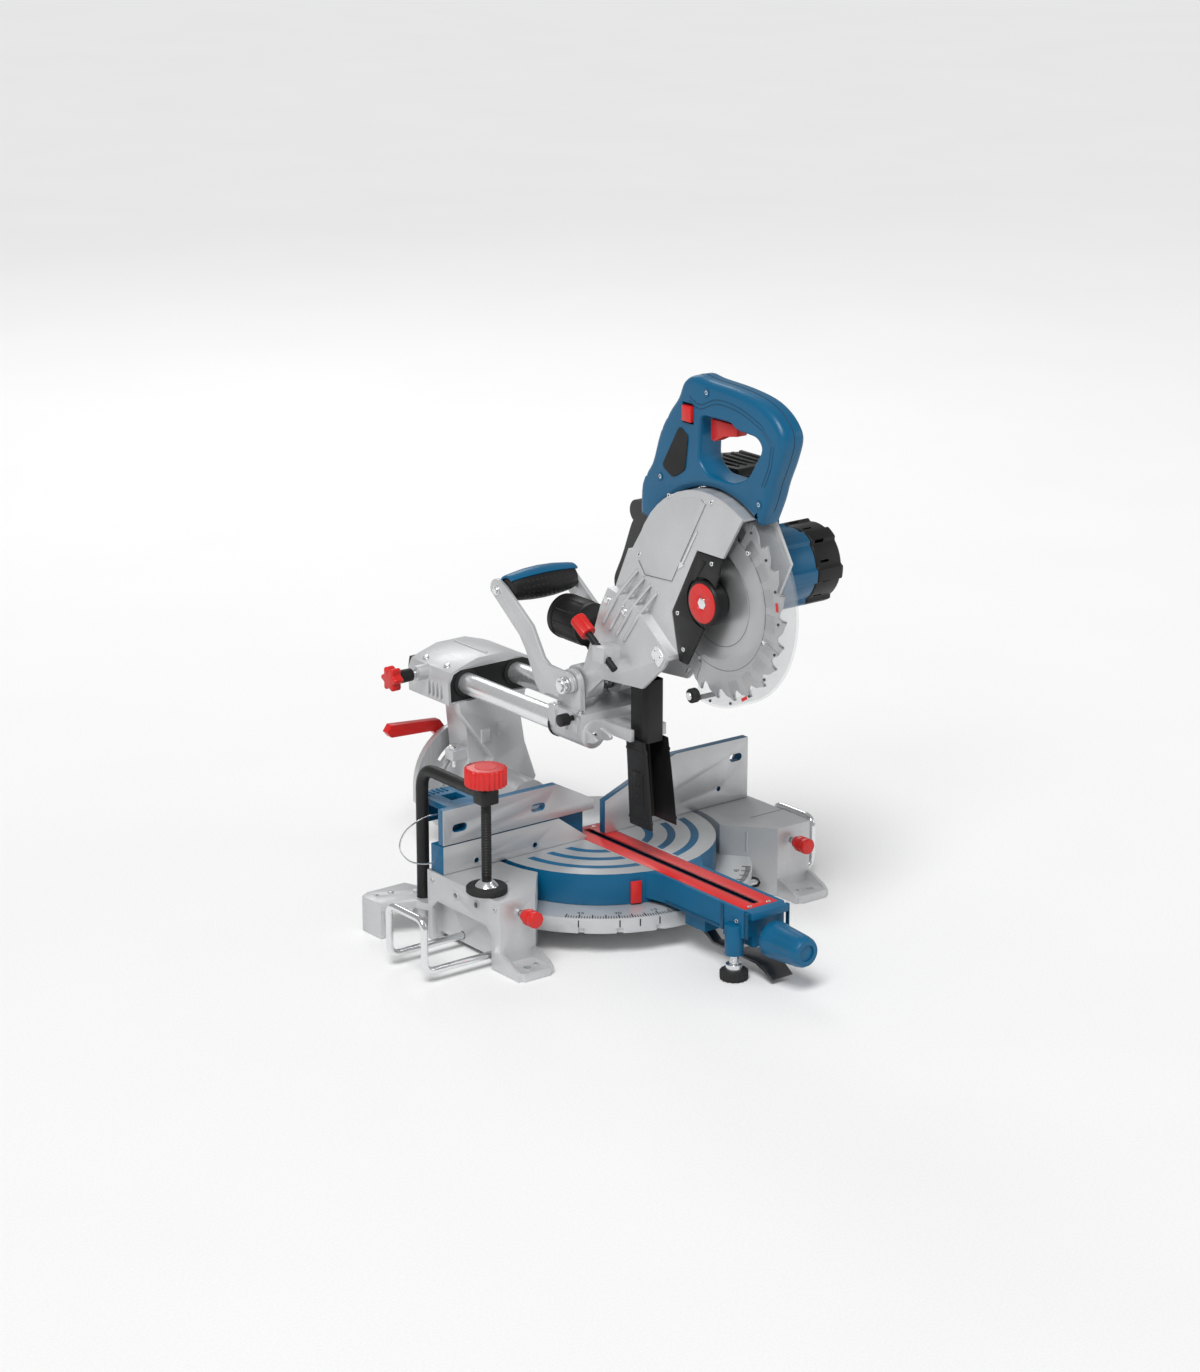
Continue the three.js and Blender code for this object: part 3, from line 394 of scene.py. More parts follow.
def inset(outline, distance):
    """The closed outline moved inwards by that distance."""
    area = sum(a[0] * b[1] - b[0] * a[1] for a, b in zip(outline, outline[1:] + outline[:1]))
    turn = 1 if area > 0 else -1
    moved = []
    for before, here, after in zip(outline[-1:] + outline[:-1], outline, outline[1:] + outline[:1]):
        one = (Vector(here) - Vector(before)).normalized()
        two = (Vector(after) - Vector(here)).normalized()
        n1, n2 = Vector((-one.y, one.x)), Vector((-two.y, two.x))
        scale = distance * turn / max(0.35, 1 + n1.dot(n2))
        moved.append(tuple(Vector(here) + (n1 + n2) * scale))
    return moved


def rounded(outline, radius, steps=4):
    """The closed outline with its corners rounded."""
    made = []
    for before, here, after in zip(outline[-1:] + outline[:-1], outline, outline[1:] + outline[:1]):
        p, a, b = Vector(here), Vector(before), Vector(after)
        reach_a = min(radius, (a - p).length * 0.45)
        reach_b = min(radius, (b - p).length * 0.45)
        start = p + (a - p).normalized() * reach_a
        stop = p + (b - p).normalized() * reach_b
        for i in range(steps + 1):
            t = i / steps
            made.append(tuple(start * (1 - t) ** 2 + p * 2 * t * (1 - t) + stop * t * t))
    return made


def oblong(u0, v0, u1, v1, radius, steps=4):
    """A rectangle with rounded corners."""
    return rounded([(u0, v0), (u1, v0), (u1, v1), (u0, v1)], radius, steps)


def waved(cu, cv, radius, height, waves, n):
    """A round outline with that many waves, for knurls, flutes and star knobs."""
    outline = []
    for i in range(n):
        t = i / n * 2 * pi
        r = radius + height * cos(waves * t)
        outline.append((cu + r * cos(t), cv + r * sin(t)))
    return outline


class Shape:
    """Closed solids in millimetres, gathered into one mesh; each has a surface number."""

    def __init__(self):
        self.bm = bmesh.new()

    def solid(self, points, faces, number=0, matrix=None):
        made = []
        for point in points:
            p = Vector(point)
            if matrix is not None:
                p = matrix @ p
            made.append(self.bm.verts.new((p + FRAME_SHIFT) * MM))
        for face in faces:
            new = self.bm.faces.new([made[i] for i in face])
            new.material_index = number
        return self

    def layers(self, rings, number=0, matrix=None):
        """Closes a stack of rings with the same number of points."""
        n = len(rings[0])
        points = [p for ring in rings for p in ring]
        faces = [tuple(range(n)), tuple(reversed(range(n * (len(rings) - 1), n * len(rings))))]
        for k in range(len(rings) - 1):
            for i in range(n):
                j = (i + 1) % n
                faces.append((k * n + i, (k + 1) * n + i, (k + 1) * n + j, k * n + j))
        return self.solid(points, faces, number, matrix)

    def prism(self, axis, outline, low, high, number=0, edge=0.0, steps=3, matrix=None):
        """An extruded outline whose two rims are rounded by edge (a negative edge flares)."""
        rings = []
        if edge:
            size = abs(edge)
            sign = 1 if edge > 0 else -1
            levels = [(size * (1 - sin(a)), size * (1 - cos(a)))
                      for a in (i * pi / 2 / steps for i in range(steps + 1))]
            for inward, along in levels:
                outer = inset(outline, inward * sign)
                rings.append([place(axis, u, v, low + along) for u, v in outer])
            for inward, along in reversed(levels):
                outer = inset(outline, inward * sign)
                rings.append([place(axis, u, v, high - along) for u, v in outer])
        else:
            rings = [[place(axis, u, v, w) for u, v in outline] for w in (low, high)]
        return self.layers(rings, number, matrix)

    def lathe(self, axis, cu, cv, profile, n=40, number=0, matrix=None):
        """Solid of revolution; profile is (radius, position) from one end to the other."""
        rings = [
            [place(axis, u, v, w) for u, v in circle(cu, cv, r, n)] for r, w in profile
        ]
        return self.layers(rings, number, matrix)

    def rod(self, axis, cu, cv, r, low, high, n=40, number=0, matrix=None):
        return self.lathe(axis, cu, cv, [(r, low), (r, high)], n, number, matrix)

    def tube(self, axis, cu, cv, outer, inner, low, high, n=48, number=0):
        rings = [
            [place(axis, u, v, w) for u, v in circle(cu, cv, r, n)]
            for r, w in ((outer, low), (outer, high), (inner, high), (inner, low))
        ]
        points = [p for ring in rings for p in ring]
        faces = []
        for k in range(4):
            m = (k + 1) % 4
            for i in range(n):
                j = (i + 1) % n
                faces.append((k * n + i, m * n + i, m * n + j, k * n + j))
        return self.solid(points, faces, number)

    def bar(self, path, r, n=12, number=0):
        """A round bar along a list of points."""
        points = [Vector(p) for p in path]
        up = None
        rings = []
        for i, p in enumerate(points):
            ahead = points[min(i + 1, len(points) - 1)] - points[max(i - 1, 0)]
            ahead.normalize()
            if up is None:
                up = ahead.orthogonal().normalized()
            up = (up - ahead * up.dot(ahead)).normalized()
            side = ahead.cross(up)
            rings.append([
                p + (up * cos(a) + side * sin(a)) * r
                for a in (2 * pi * k / n for k in range(n))
            ])
        return self.layers(rings, number)

    def box(self, x0, x1, y0, y1, z0, z1, number=0, edge=0.0, matrix=None):
        outline = oblong(x0, y0, x1, y1, max(edge, 0.3), 2)
        return self.prism("z", outline, z0, z1, number, edge, 2, matrix)

    def screw(self, place_at, direction, r=3.0, height=2.2, number=0, socket_shade=1):
        """A socket-head screw standing on a surface; its socket floor takes its own surface number,
        mostly a dark look that paints the shade inside the socket.
        """
        turn = Vector(direction).to_track_quat("Z", "Y").to_matrix().to_4x4()
        turn.translation = Vector(place_at)
        profile = [(r, -1), (r, height * 0.8), (r * 0.88, height), (r * 0.55, height),
                   (r * 0.55, height * 0.35)]
        self.lathe("z", 0, 0, profile, 20, number, turn)
        # The socket floor: a separate disc whose dark colour paints the socket's shade.
        self.rod("z", 0, 0, r * 0.5, height * 0.36, height * 0.4, 6, socket_shade, turn)
        return self

    def bolt(self, place_at, direction, r=5.0, height=4.0, number=0):
        """A hexagon head on a washer."""
        turn = Vector(direction).to_track_quat("Z", "Y").to_matrix().to_4x4()
        turn.translation = Vector(place_at)
        self.rod("z", 0, 0, r * 1.35, -1, 0.8, 24, number, turn)
        self.prism("z", circle(0, 0, r, 6), 0.8, height, number, 0.5, 2, turn)
        return self

    def mesh(self, name):
        bmesh.ops.recalc_face_normals(self.bm, faces=self.bm.faces)
        mesh = bpy.data.meshes.new(name)
        self.bm.to_mesh(mesh)
        self.bm.free()
        return mesh


def smoothing():
    """A modifier group that shades smooth, with creases kept at edges over 32 degrees."""
    group = bpy.data.node_groups.new("smooth_by_angle", "GeometryNodeTree")
    group.interface.new_socket("Geometry", in_out="INPUT", socket_type="NodeSocketGeometry")
    group.interface.new_socket("Geometry", in_out="OUTPUT", socket_type="NodeSocketGeometry")
    nodes, links = group.nodes, group.links
    start, stop = nodes.new("NodeGroupInput"), nodes.new("NodeGroupOutput")
    faces = nodes.new("GeometryNodeSetShadeSmooth")
    faces.domain = "FACE"
    edges = nodes.new("GeometryNodeSetShadeSmooth")
    edges.domain = "EDGE"
    angle = nodes.new("GeometryNodeInputMeshEdgeAngle")
    soft = nodes.new("FunctionNodeCompare")
    soft.operation = "LESS_THAN"
    soft.inputs[1].default_value = radians(32)
    links.new(start.outputs[0], faces.inputs["Geometry"])
    links.new(faces.outputs[0], edges.inputs["Geometry"])
    links.new(angle.outputs[0], soft.inputs[0])
    links.new(soft.outputs[0], edges.inputs["Shade Smooth"])
    links.new(edges.outputs[0], stop.inputs[0])
    return group


SMOOTH = smoothing()


def finish_edges(obj, width):
    if width:
        bevel = obj.modifiers.new("edges", "BEVEL")
        bevel.width = width * MM
        bevel.segments = 2
        bevel.limit_method = "ANGLE"
        bevel.angle_limit = radians(42)
    obj.modifiers.new("smooth", "NODES").node_group = SMOOTH


def dress(node, look, width):
    """Gives a CAD node its surface, small rounded edges and smooth shading."""
    obj = NODES[node]
    weld = obj.modifiers.new("weld", "WELD")
    weld.merge_threshold = 0.00001
    flat = obj.modifiers.new("flat", "DECIMATE")
    flat.decimate_type = "DISSOLVE"
    flat.angle_limit = radians(0.6)
    finish_edges(obj, width)
    obj.data.materials.clear()
    obj.data.materials.append(LOOKS[look])


def piece(name, shape, body, looks, edge=0.0, stands_for=(), cuts=()):
    """Makes one piece from a Shape less its cuts.

    It rides on the body and may stand for CAD nodes.
    """
    obj = bpy.data.objects.new(name, shape.mesh(name))
    bpy.context.scene.collection.objects.link(obj)
    for shape in cuts:
        cutter = bpy.data.objects.new(name + "_cut", shape.mesh(name + "_cut"))
        bpy.context.scene.collection.objects.link(cutter)
        boolean = obj.modifiers.new("cut", "BOOLEAN")
        boolean.operation = "DIFFERENCE"
        boolean.solver = "EXACT"
        boolean.use_self = True
        boolean.object = cutter
        graph = bpy.context.evaluated_depsgraph_get()
        cut = bpy.data.meshes.new_from_object(obj.evaluated_get(graph))
        obj.modifiers.clear()
        obj.data = cut
        bpy.data.objects.remove(cutter)
    for look in looks:
        obj.data.materials.append(LOOKS[look])
    finish_edges(obj, edge)
    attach(obj, body)
    if stands_for:
        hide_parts(*stands_for)
    return obj


# ------------------------------------------------------------------ CAD nodes that stay
# For each look, the nodes that wear it and the width of their rounded edges.
NODE_LOOKS = {
    "silver": {
        "base_casting": 0.9, "tilt_arm": 1.0, "carriage": 0.8, "carry_arm_left": 0.8,
        "carry_arm_right": 0.8, "upper_guard": 0.6,
    },
    "fence": {"fence_left_lower": 0.5},
    "fence_edge": {"fence_left_upper": 0.5, "fence_right": 0.5},
    "table": {"turntable": 0.7},
    "red": {
        "table_insert": 0.3, "pointer": 0.3, "bevel_lock_lever": 1.6, "trigger": 1.2,
        "lock_off_button": 1.0,
    },
    "chrome": {
        "mitre_shaft": 0.3, "bevel_stop_screw": 0.3, "bevel_lock_bolt": 0.3, "pivot_axle": 0.5,
    },
    "dark": {"detent_lever": 0.6, "motor_rotor": 0.2, "arbor": 0.3, "drive_gear": 0.2},
    "black": {
        "rail_bearing_plate": 0.3, "rail_end_plate": 0.8, "transport_pin": 0.6,
        "dust_tube": 0.5, "guard_cover": 0.5, "clamp_spindle": 0.3,
    },
    "grey": {"bushing_left": 0.2, "bushing_right": 0.2, "gear_case": 1.2},
    "spring": {"head_spring": 0.0},
    "copper": {"motor_stator": 0.3},
}


def dress_nodes():
    for look, widths in NODE_LOOKS.items():
        for node, width in widths.items():
            dress(node, look, width)


# ------------------------------------------------------------------ base
def build_base():
    marks = Shape()
    for degree in range(-50, 51):
        turn = Matrix.Rotation(radians(degree), 4, "Z")
        length = 10 if degree % 5 == 0 else 6
        half = 0.7 if degree % 5 == 0 else 0.42
        marks.box(-half, half, -170, -170 + length, 43.9, 44.25, 0, matrix=turn)
    for degree in (-45, -30, -22.5, -15, 0, 15, 22.5, 30, 45):
        turn = Matrix.Rotation(radians(degree), 4, "Z")
        marks.box(-0.7, 0.7, -172.15, -171.6, 34, 42, 0, matrix=turn)
    piece("scale_marks", marks, "base", ["ink"])
    for degree in (-45, -30, -15, 15, 30, 45):
        number(str(abs(degree)), degree)
    trims = Shape()
    for side in (-1, 1):
        trims.box(*sorted((side * 170, side * 216)), -61, -60.2, 79.95, 80.12, 1)
        for x, y in ((198, -132), (184, -128)):
            r = 6.5 if x == 198 else 4
            trims.tube("z", side * x, y, r, r - 2, 8.8, 9.6, 28, 0)
        trims.bolt((side * 208, 60, 40), (0, 0, 1), 4.5, 4)
        trims.screw((side * 230, 78, 40), (0, 0, 1), 3.4, 2.4, 0, 1)
        for y in (-100, 16):
            trims.screw((side * 217, y, 70), (side, 0, 0), 2.6, 1.6, 0, 1)
        for y, z in ((-27.5, 64), (-65.5, 65)):
            trims.tube("x", y, z, 5.2, 3.6, *sorted((side * 216.6, side * 217.5)), 24, 0)
    piece("base_trims", trims, "base", ["silver", "ink"], 0.2)
    ribs = Shape()
    for side in (-1, 1):
        for y in (-80, -40, 0):
            ribs.box(*sorted((side * 147, side * 212)), y - 1.5, y + 1.5, 50, 73.8, 0)
        for k in range(3):
            a = radians(-34 + 17 * k)
            turn = Matrix.Rotation(a if side > 0 else pi - a, 4, "Z")
            ribs.box(60, 146, -1.6, 1.6, 33, 40, 0, matrix=turn)
    piece("base_ribs", ribs, "base", ["silver"], 0.3)


def number(text, degree):
    """A number on the scale ring, as raised ink."""
    curve = bpy.data.curves.new("scale_number", "FONT")
    curve.body = text
    curve.size = 8.5 * MM
    curve.align_x = "CENTER"
    curve.align_y = "CENTER"
    curve.extrude = 0.08 * MM
    source = bpy.data.objects.new("scale_number", curve)
    bpy.context.scene.collection.objects.link(source)
    graph = bpy.context.evaluated_depsgraph_get()
    mesh = bpy.data.meshes.new_from_object(source.evaluated_get(graph))
    bpy.data.objects.remove(source)
    a = radians(degree)
    centre = Vector((155 * sin(a), -155 * cos(a), 44.05))
    mesh.transform(Matrix.Translation((centre + FRAME_SHIFT) * MM) @ Matrix.Rotation(a, 4, "Z"))
    side = "left" if degree < 0 else "right"
    obj = bpy.data.objects.new(f"scale_number_{side}_{text}", mesh)
    bpy.context.scene.collection.objects.link(obj)
    obj.data.materials.append(LOOKS["ink"])
    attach(obj, "base")


def build_bars():
    for side, outer, name, body in (
        (-1, 300, "ext_bar_left", "left_bar"),
        (1, 240, "ext_bar_right", "right_bar"),
    ):
        path = []
        corners = [
            (outer - 130, -87, 14), (outer, -87, 14), (outer, -87, 72),
            (outer, -22, 72), (outer, -22, 14), (outer - 130, -22, 14),
        ]
        for i, corner in enumerate(corners):
            p = Vector(corner)
            if i in (0, len(corners) - 1):
                path.append(p)
                continue
            a = p + (Vector(corners[i - 1]) - p).normalized() * 13
            b = p + (Vector(corners[i + 1]) - p).normalized() * 13
            path += [a * (1 - t) ** 2 + p * 2 * t * (1 - t) + b * t * t
                     for t in (k / 8 for k in range(9))]
        path = [Vector((side * p.x, p.y, p.z)) for p in path]
        piece(name + "_round", Shape().bar(path, 4, 16), body, ["chrome"], 0.3, (name,))
    for side, name, body in (
        (-1, "bar_knob_left", "left_bar_knob"),
        (1, "bar_knob_right", "right_bar_knob"),
    ):
        x = side * 190
        knob = Shape()
        facets = rounded(circle(x, 62.6, 9.6, 8), 1.6, 2)
        knob.prism("y", facets, -139, -122, 0, 1.6)
        knob.rod("y", x, 62.6, 6.6, -123, -117, 28, 0)
        knob.rod("y", x, 62.6, 3, -118, -99, 20, 1)
        groove = Shape().tube("y", x, 62.6, 12, 8.6, -132.6, -130.8, 28)
        piece(name + "_facets", knob, body, ["red", "chrome"], 0.25, (name,), [groove])


def build_clamp():
    corner, end = Vector((-208, 46, 190)), Vector((-208, -70, 190))
    path = [Vector((-208, 46, 25)), Vector((-208, 46, 100))]
    a, b = corner + Vector((0, 0, -26)), corner + Vector((0, -26, 0))
    path += [a * (1 - t) ** 2 + corner * 2 * t * (1 - t) + b * t * t
             for t in (k / 10 for k in range(11))]
    path.append(end)
    post = Shape().bar(path, 7, 24)
    post.prism("z", oblong(-219, -84, -197, -62, 5), 181, 198, 0, 1.2)
    bore = Shape().rod("z", *CLAMP, 5.9, 170, 205, 28)
    piece("clamp_post_round", post, "clamp", ["black"], 0.3, ("clamp_post",), [bore])
    knob = Shape().prism("z", waved(*CLAMP, 22.2, 0.8, 24, 144), 201, 221.6, 0, 2.2, 3)
    knob.lathe("z", *CLAMP, [(15, 198.7), (17, 201.4)], 40, 1)
    knob.rod("z", *CLAMP, 12, 221, 222, 40, 0)
    piece("clamp_knob_fluted", knob, "clamp_screw", ["red", "black"], 0.0, ("clamp_knob",))
    pad = Shape()
    pad.lathe("z", *CLAMP, [(21, 80.4), (22.4, 81.6), (22.4, 86.5), (21, 88)], 48, 0)
    pad.lathe("z", *CLAMP, [(13, 87.8), (12, 89), (7.4, 93.6)], 40, 1)
    piece("clamp_pad_round", pad, "clamp_screw", ["rubber", "chrome"], 0.2, ("clamp_pad",))
    thread = Shape()
    for k in range(26):
        z = 100 + k * 3.1
        ridge = [(5.2, z), (5.7, z + 0.7), (5.7, z + 1.1), (5.2, z + 1.8)]
        thread.lathe("z", *CLAMP, ridge, 24)
    piece("clamp_thread", thread, "clamp_screw", ["black"])


def build_fences():
    trims = Shape()
    for k in range(6):
        trims.box(-196.5 + k * 6, -194 + k * 6, 58, 71.4, 149.8, 151, 0, 0.3)
    trims.prism("y", oblong(-136, 120, -112, 106, 3), 20, 20.9, 0, 0.4)
    for x in (-171, -91.5):
        trims.tube("y", x, 88, 4.6, 3.1, -3.5, -2.6, 24, 1)
    for x, y in ((-150, 14), (-60, 13)):
        trims.screw((x, y, 111), (0, 0, 1), 3, 2, 1, 2)
    for x in (156, 210):
        trims.screw((x, 18, 89), (0, 0, 1), 3.2, 2.6, 1, 2)
    piece("fence_trims", trims, "base", ["blue", "machined", "ink"], 0.2)
    loop = [(-197.4, 30, 138), (-222, 26, 139), (-247, 22, 131), (-258, 18, 115),
            (-248, 15, 99), (-230, 13, 92), (-215.5, 12, 91)]
    piece("fence_wire_round", Shape().bar(curve_through(loop, 6), 0.9, 10), "base", ["chrome"], 0,
          ("fence_wire",))


def curve_through(points, steps):
    """Catmull-Rom points through the given ones."""
    p = [Vector(points[0])] + [Vector(q) for q in points] + [Vector(points[-1])]
    made = []
    for i in range(1, len(p) - 2):
        for k in range(steps):
            t = k / steps
            made.append(0.5 * (2 * p[i] + (p[i + 1] - p[i - 1]) * t
                               + (2 * p[i - 1] - 5 * p[i] + 4 * p[i + 1] - p[i + 2]) * t * t
                               + (3 * p[i] - p[i - 1] - 3 * p[i + 1] + p[i + 2]) * t ** 3))
    return made + [p[-2]]


# ------------------------------------------------------------------ turntable
MITRE_KNOB = [
    (14, -300), (17.5, -300.6), (20, -303), (20.5, -307), (20.2, -312), (19.4, -318),
    (18.6, -332), (17.6, -348), (16.6, -354), (14.6, -357.6), (12, -358),
]


def build_turntable():
    trims = Shape()
    for x in (-13, 13):
        for y, z in ((-279, 80), (26, 79.55)):
            trims.screw((x, y, z), (0, 0, 1), 2.6, 0.5, 0, 1)
    # The strips on the arm's sides take the darkened blue (surface 2): painted shade standing in
    # for the arm's side openings.
    for side in (-1, 1):
        for y in (-252, -292.5):
            trims.box(*sorted((side * 27.6, side * 29.2)), y - 2.5, y + 2.5, 50.5, 79, 2, 0.5)
        trims.box(*sorted((side * 27.6, side * 28.8)), -246, -155, 51, 54, 2, 0.4)
    for side in (-1, 1):
        trims.screw((side * 28, -276, 66), (side, 0, 0), 2.6, 1.2, 0, 1)
    for x in (26, -26):
        trims.bolt((x, 268, 34), (0, 1, 0), 4, 3.6)
    piece("turntable_trims", trims, "table", ["chrome", "ink", "blue_painted_shade"], 0.15)
    line = Shape().box(-KERF_EDGE, -KERF_EDGE + 1.2, -273, 21, 79.95, 80.1, 0)
    line.box(KERF_EDGE - 1.2, KERF_EDGE, -273, 21, 79.95, 80.1, 0)
    piece("insert_lines", line, "table", ["black"])
    knob = Shape()
    rings = []
    for radius, y in MITRE_KNOB:
        depth = 0.06 if -352 < y < -314 else 0.0
        ring = []
        for i in range(96):
            t = i / 96 * 2 * pi
            r = radius * (1 - depth * max(0.0, cos(8 * t)))
            ring.append((r * cos(t), y, MITRE_Z + r * sin(t)))
        rings.append(ring)
    knob.layers(rings, 0)
    dimple = Shape().lathe("y", 0, MITRE_Z, [(9.6, -370), (9.2, -356)], 40)
    piece("mitre_knob_grip", knob, "mitre_lock", ["blue"], 0.0, ("mitre_knob",), [dimple])
    foot = Shape().prism("z", waved(*FOOT, 15, 0.5, 16, 96), 0, 10.5, 0, 1.4)
    foot.lathe("z", *FOOT, [(9, 10), (9, 17), (5, 17.4), (5, 46)], 28, 1)
    for k in range(7):
        z = 19 + k * 1.6
        ridge = [(4.8, z), (5.3, z + 0.4), (5.3, z + 0.8), (4.8, z + 1.2)]
        foot.lathe("z", *FOOT, ridge, 24, 1)
    piece("foot_screw_knurled", foot, "front_foot", ["rubber", "chrome"], 0.0, ("foot_screw",))


# ------------------------------------------------------------------ tilting arm and carriage
def build_tilt():
    trims = Shape()
    for x in (-35, 35):
        trims.tube("y", x, RAIL_Z, 16.4, 13, 201.6, 207.6, 44, 1)
    for x in (-30, 0, 30):
        trims.box(x - 2.2, x + 2.2, 212, 274, 232.5, 242.4 - abs(x) * 0.16, 0, 0.8)
    for y in (222, 264):
        trims.bolt((-48, y, 231.5), (-0.3, 0, 1), 3.6, 3.4, 2)
    trims.box(-20, -8, 195, 199.5, 140, 156, 0, 0.8)
    for k in range(4):
        for x in (-63, 60.5):
            trims.box(x, x + 2.5, 216 + k * 8, 219 + k * 8, 196, 214, 0, 0.6)
    piece("tilt_trims", trims, "tilt", ["silver", "rubber", "chrome"], 0.3)
    knob = Shape().prism("x", waved(*RAIL_LOCK, 12.6, 2.3, 6, 96), -112, -99, 0, 2.2)
    knob.lathe("x", *RAIL_LOCK, [(8, -100), (7.4, -80)], 32, 1)
    knob.rod("x", *RAIL_LOCK, 4, -81, -53, 24, 2)
    piece("rail_lock_star", knob, "rail_lock", ["red", "black", "chrome"], 0.0, ("rail_lock_knob",))
    lever = Shape().bolt((0, 284, 120.5), (0, 1, 0), 6, 3.4)
    piece("lever_bolt", lever, "bevel_lock", ["chrome"], 0.2)
    for x, name in ((-35, "rail_left"), (35, "rail_right")):
        rail = Shape().tube("y", x, RAIL_Z, 12.5, 10, -30, 292, 64)
        piece(name + "_ground", rail, "slider", ["rail"], 0.5, (name,))


FORK = [(-34, 206), (-52, 209), (-58, 213), (-52, 217), (-34, 221)]


def build_carriage():
    trims = Shape()
    for x in (-47, 47):
        for y in (-28, 14):
            trims.bolt((x, y, 238), (0, 0, 1), 3.6, 3.4, 1)
    for side in (-1, 1):
        trims.bolt((side * 57, -6, 266), (side, 0, 0), 6.5, 3.4, 1)
        trims.bolt((side * 50.5, 122, 345), (side, 0, 0), 4.2, 3.2, 1)
        for k in range(3):
            y = -30 + k * 20
            trims.box(*sorted((side * 51.8, side * 53.6)), y, y + 3, 216, 234, 0, 0.4)
        trims.lathe("y", side * 35, RAIL_Z, [(13, -37.8), (16.4, -36), (16.4, -33)], 44, 0)
        trims.screw((side * 35, -37.6, RAIL_Z), (0, -1, 0), 3.4, 1.8, 1, 2)
        for x in (24, 43):
            trims.prism("x", rounded(FORK, 3, 3), *sorted((side * x, side * (x + 4))), 0, 0.8)
        trims.tube("y", side * 35, RAIL_Z, 17.4, 13.1, 22, 25.4, 44, 2)
    for x in (-30, 30):
        trims.screw((x, 299, 214), (0, 1, 0), 3.4, 2.4, 1, 2)
    piece("carriage_trims", trims, "slider", ["silver", "chrome", "black"], 0.25)
    grip = Shape()
    rings = []
    for x in (-45, -43, -38, -30, -15, 0, 15, 30, 38, 43, 45):
        r = 18.0 - 0.0022 * x * x - (3.0 if abs(x) > 44 else 0) - (0.8 if abs(x) == 43 else 0)
        rings.append([
            (x, GRIP[0] + r * 1.02 * cos(t), GRIP[1] + r * 0.98 * sin(t))
            for t in (i / 48 * 2 * pi for i in range(48))
        ])
    grip.layers(rings, 0)
    grip.rod("x", *GRIP_PIN, 3.8, -53, -40, 20, 2)
    grip.rod("x", *GRIP_PIN, 3.8, 40, 53, 20, 2)
    for row in range(4):
        t = radians(150 + 22 * row)
        for k in range(12):
            x = -33 + 6 * k
            r = 17.8 - 0.0022 * x * x
            turn = Matrix.Translation((x, GRIP[0] + r * cos(t), GRIP[1] + r * sin(t)))
            turn = turn @ Matrix.Rotation(pi / 2 - t, 4, "X").inverted()
            grip.lathe("z", 0, 0, [(1.6, -1), (1.5, 0.5), (0.9, 0.9)], 10, 1, turn)
    piece("carry_grip_soft", grip, "slider", ["black", "rubber", "chrome"], 0.0, ("carry_grip",))
    cap = Shape()
    rings = []
    for x in (-46, -40, -20, 0, 20, 40, 46):
        outer, inner = 19.6 - 0.0022 * x * x, 16.8 - 0.0022 * x * x
        ring = [(x, GRIP[0] + outer * cos(t), GRIP[1] + outer * sin(t))
                for t in (radians(-2 + 132 * i / 20) for i in range(21))]
        ring += [(x, GRIP[0] + inner * cos(t), GRIP[1] + inner * sin(t))
                 for t in (radians(130 - 132 * i / 20) for i in range(21))]
        rings.append(ring)
    cap.layers(rings, 0)
    piece("carry_grip_cap", cap, "slider", ["blue"], 0.4)
    port = Shape().tube("y", *PORT, 25, 21.5, 40, 88, 56, 0)
    port.tube("y", *PORT, 25.6, 24, 80, 84, 56, 0)
    port.tube("y", *PORT, 25, 9, 36, 41, 56, 0)
    port.box(13, 27, 16.5, 24, 244.3, 290, 0, 1)
    port.prism("x", [(16.5, 284), (24, 272), (42, 288), (42, 300)], 13, 27, 0)
    for x, z in circle(*PORT, 24.4, 10):
        port.box(x - 1.2, x + 1.2, 44, 78, z - 1.2, z + 1.2, 0, 0.4)
    piece("dust_port_ribbed", port, "slider", ["black"], 0.3, ("dust_port",))


def build_boot():
    rows = (
        (120, 19, -119, -76), (150, 18.8, -115, -73.5), (185, 18.2, -110, -70.5),
        (217, 17.6, -105, -67),
    )
    boot = Shape()
    rings = []
    for z, half, front, back in rows:
        rings.append([(u, v, z) for u, v in oblong(-half, front, half, back, 7, 5)])
    boot.layers(rings, 0)
    for z in (128, 205):
        t = (z - 120) / 97
        half, front, back = 19.6 - 1.4 * t, -119.8 + 14 * t, -75.4 + 8.6 * t
        ring = oblong(-half, front, half, back, 7, 5)
        boot.prism("z", ring, z - 1.5, z + 1.5, 0, 0.8, 2)
    badge = rounded([(-104, 146), (-84, 146), (-82, 182), (-102, 182)], 4)
    boot.prism("x", badge, -19.8, -17.4, 0, 0.7)
    for z in (154, 166, 177):
        boot.prism("x", oblong(-99, z, -89, z + 5, 2), -20.3, -19, 0, 0.3)
    inner = Shape()
    rings = []
    for z, half, front, back in ((110, 16.6, -132, -78.7), (228, 15.1, -118, -69.2)):
        rings.append([(u, v, z) for u, v in oblong(-half, front, half, back, 3, 4)])
    inner.layers(rings, 0)
    crown = Shape().box(-16, 16, -120, -60, 209, 220)
    piece("dust_boot_moulded", boot, "boot", ["black"], 0.2, ("dust_boot",), [inner, crown])


# ------------------------------------------------------------------ saw head
HANDLE_BACK = [
    (-84, 469), (-86, 505), (-103, 531), (-116, 566), (-132, 591), (-146, 608), (-156, 627),
    (-174, 636), (-196, 634), (-240, 632), (-276, 627), (-300, 617), (-315, 603), (-319, 589),
    (-312, 567), (-301, 543), (-294, 523), (-283, 500),
]
HANDLE_WINDOW = [
    (-186, 596), (-184, 547), (-201, 534), (-242, 534), (-264, 544), (-287, 579), (-278, 589),
    (-243, 591), (-236, 597),
]
HANDLE_NOTCHES = [(-94, 516), (-102.5, 530), (-108, 544), (-113, 558), (-120, 572), (-129, 586)]
GRIP_LINE = [
    (-168, 609), (-186, 603), (-214, 613), (-250, 611), (-286, 599), (-301, 585), (-297, 562),
    (-287, 540),
]


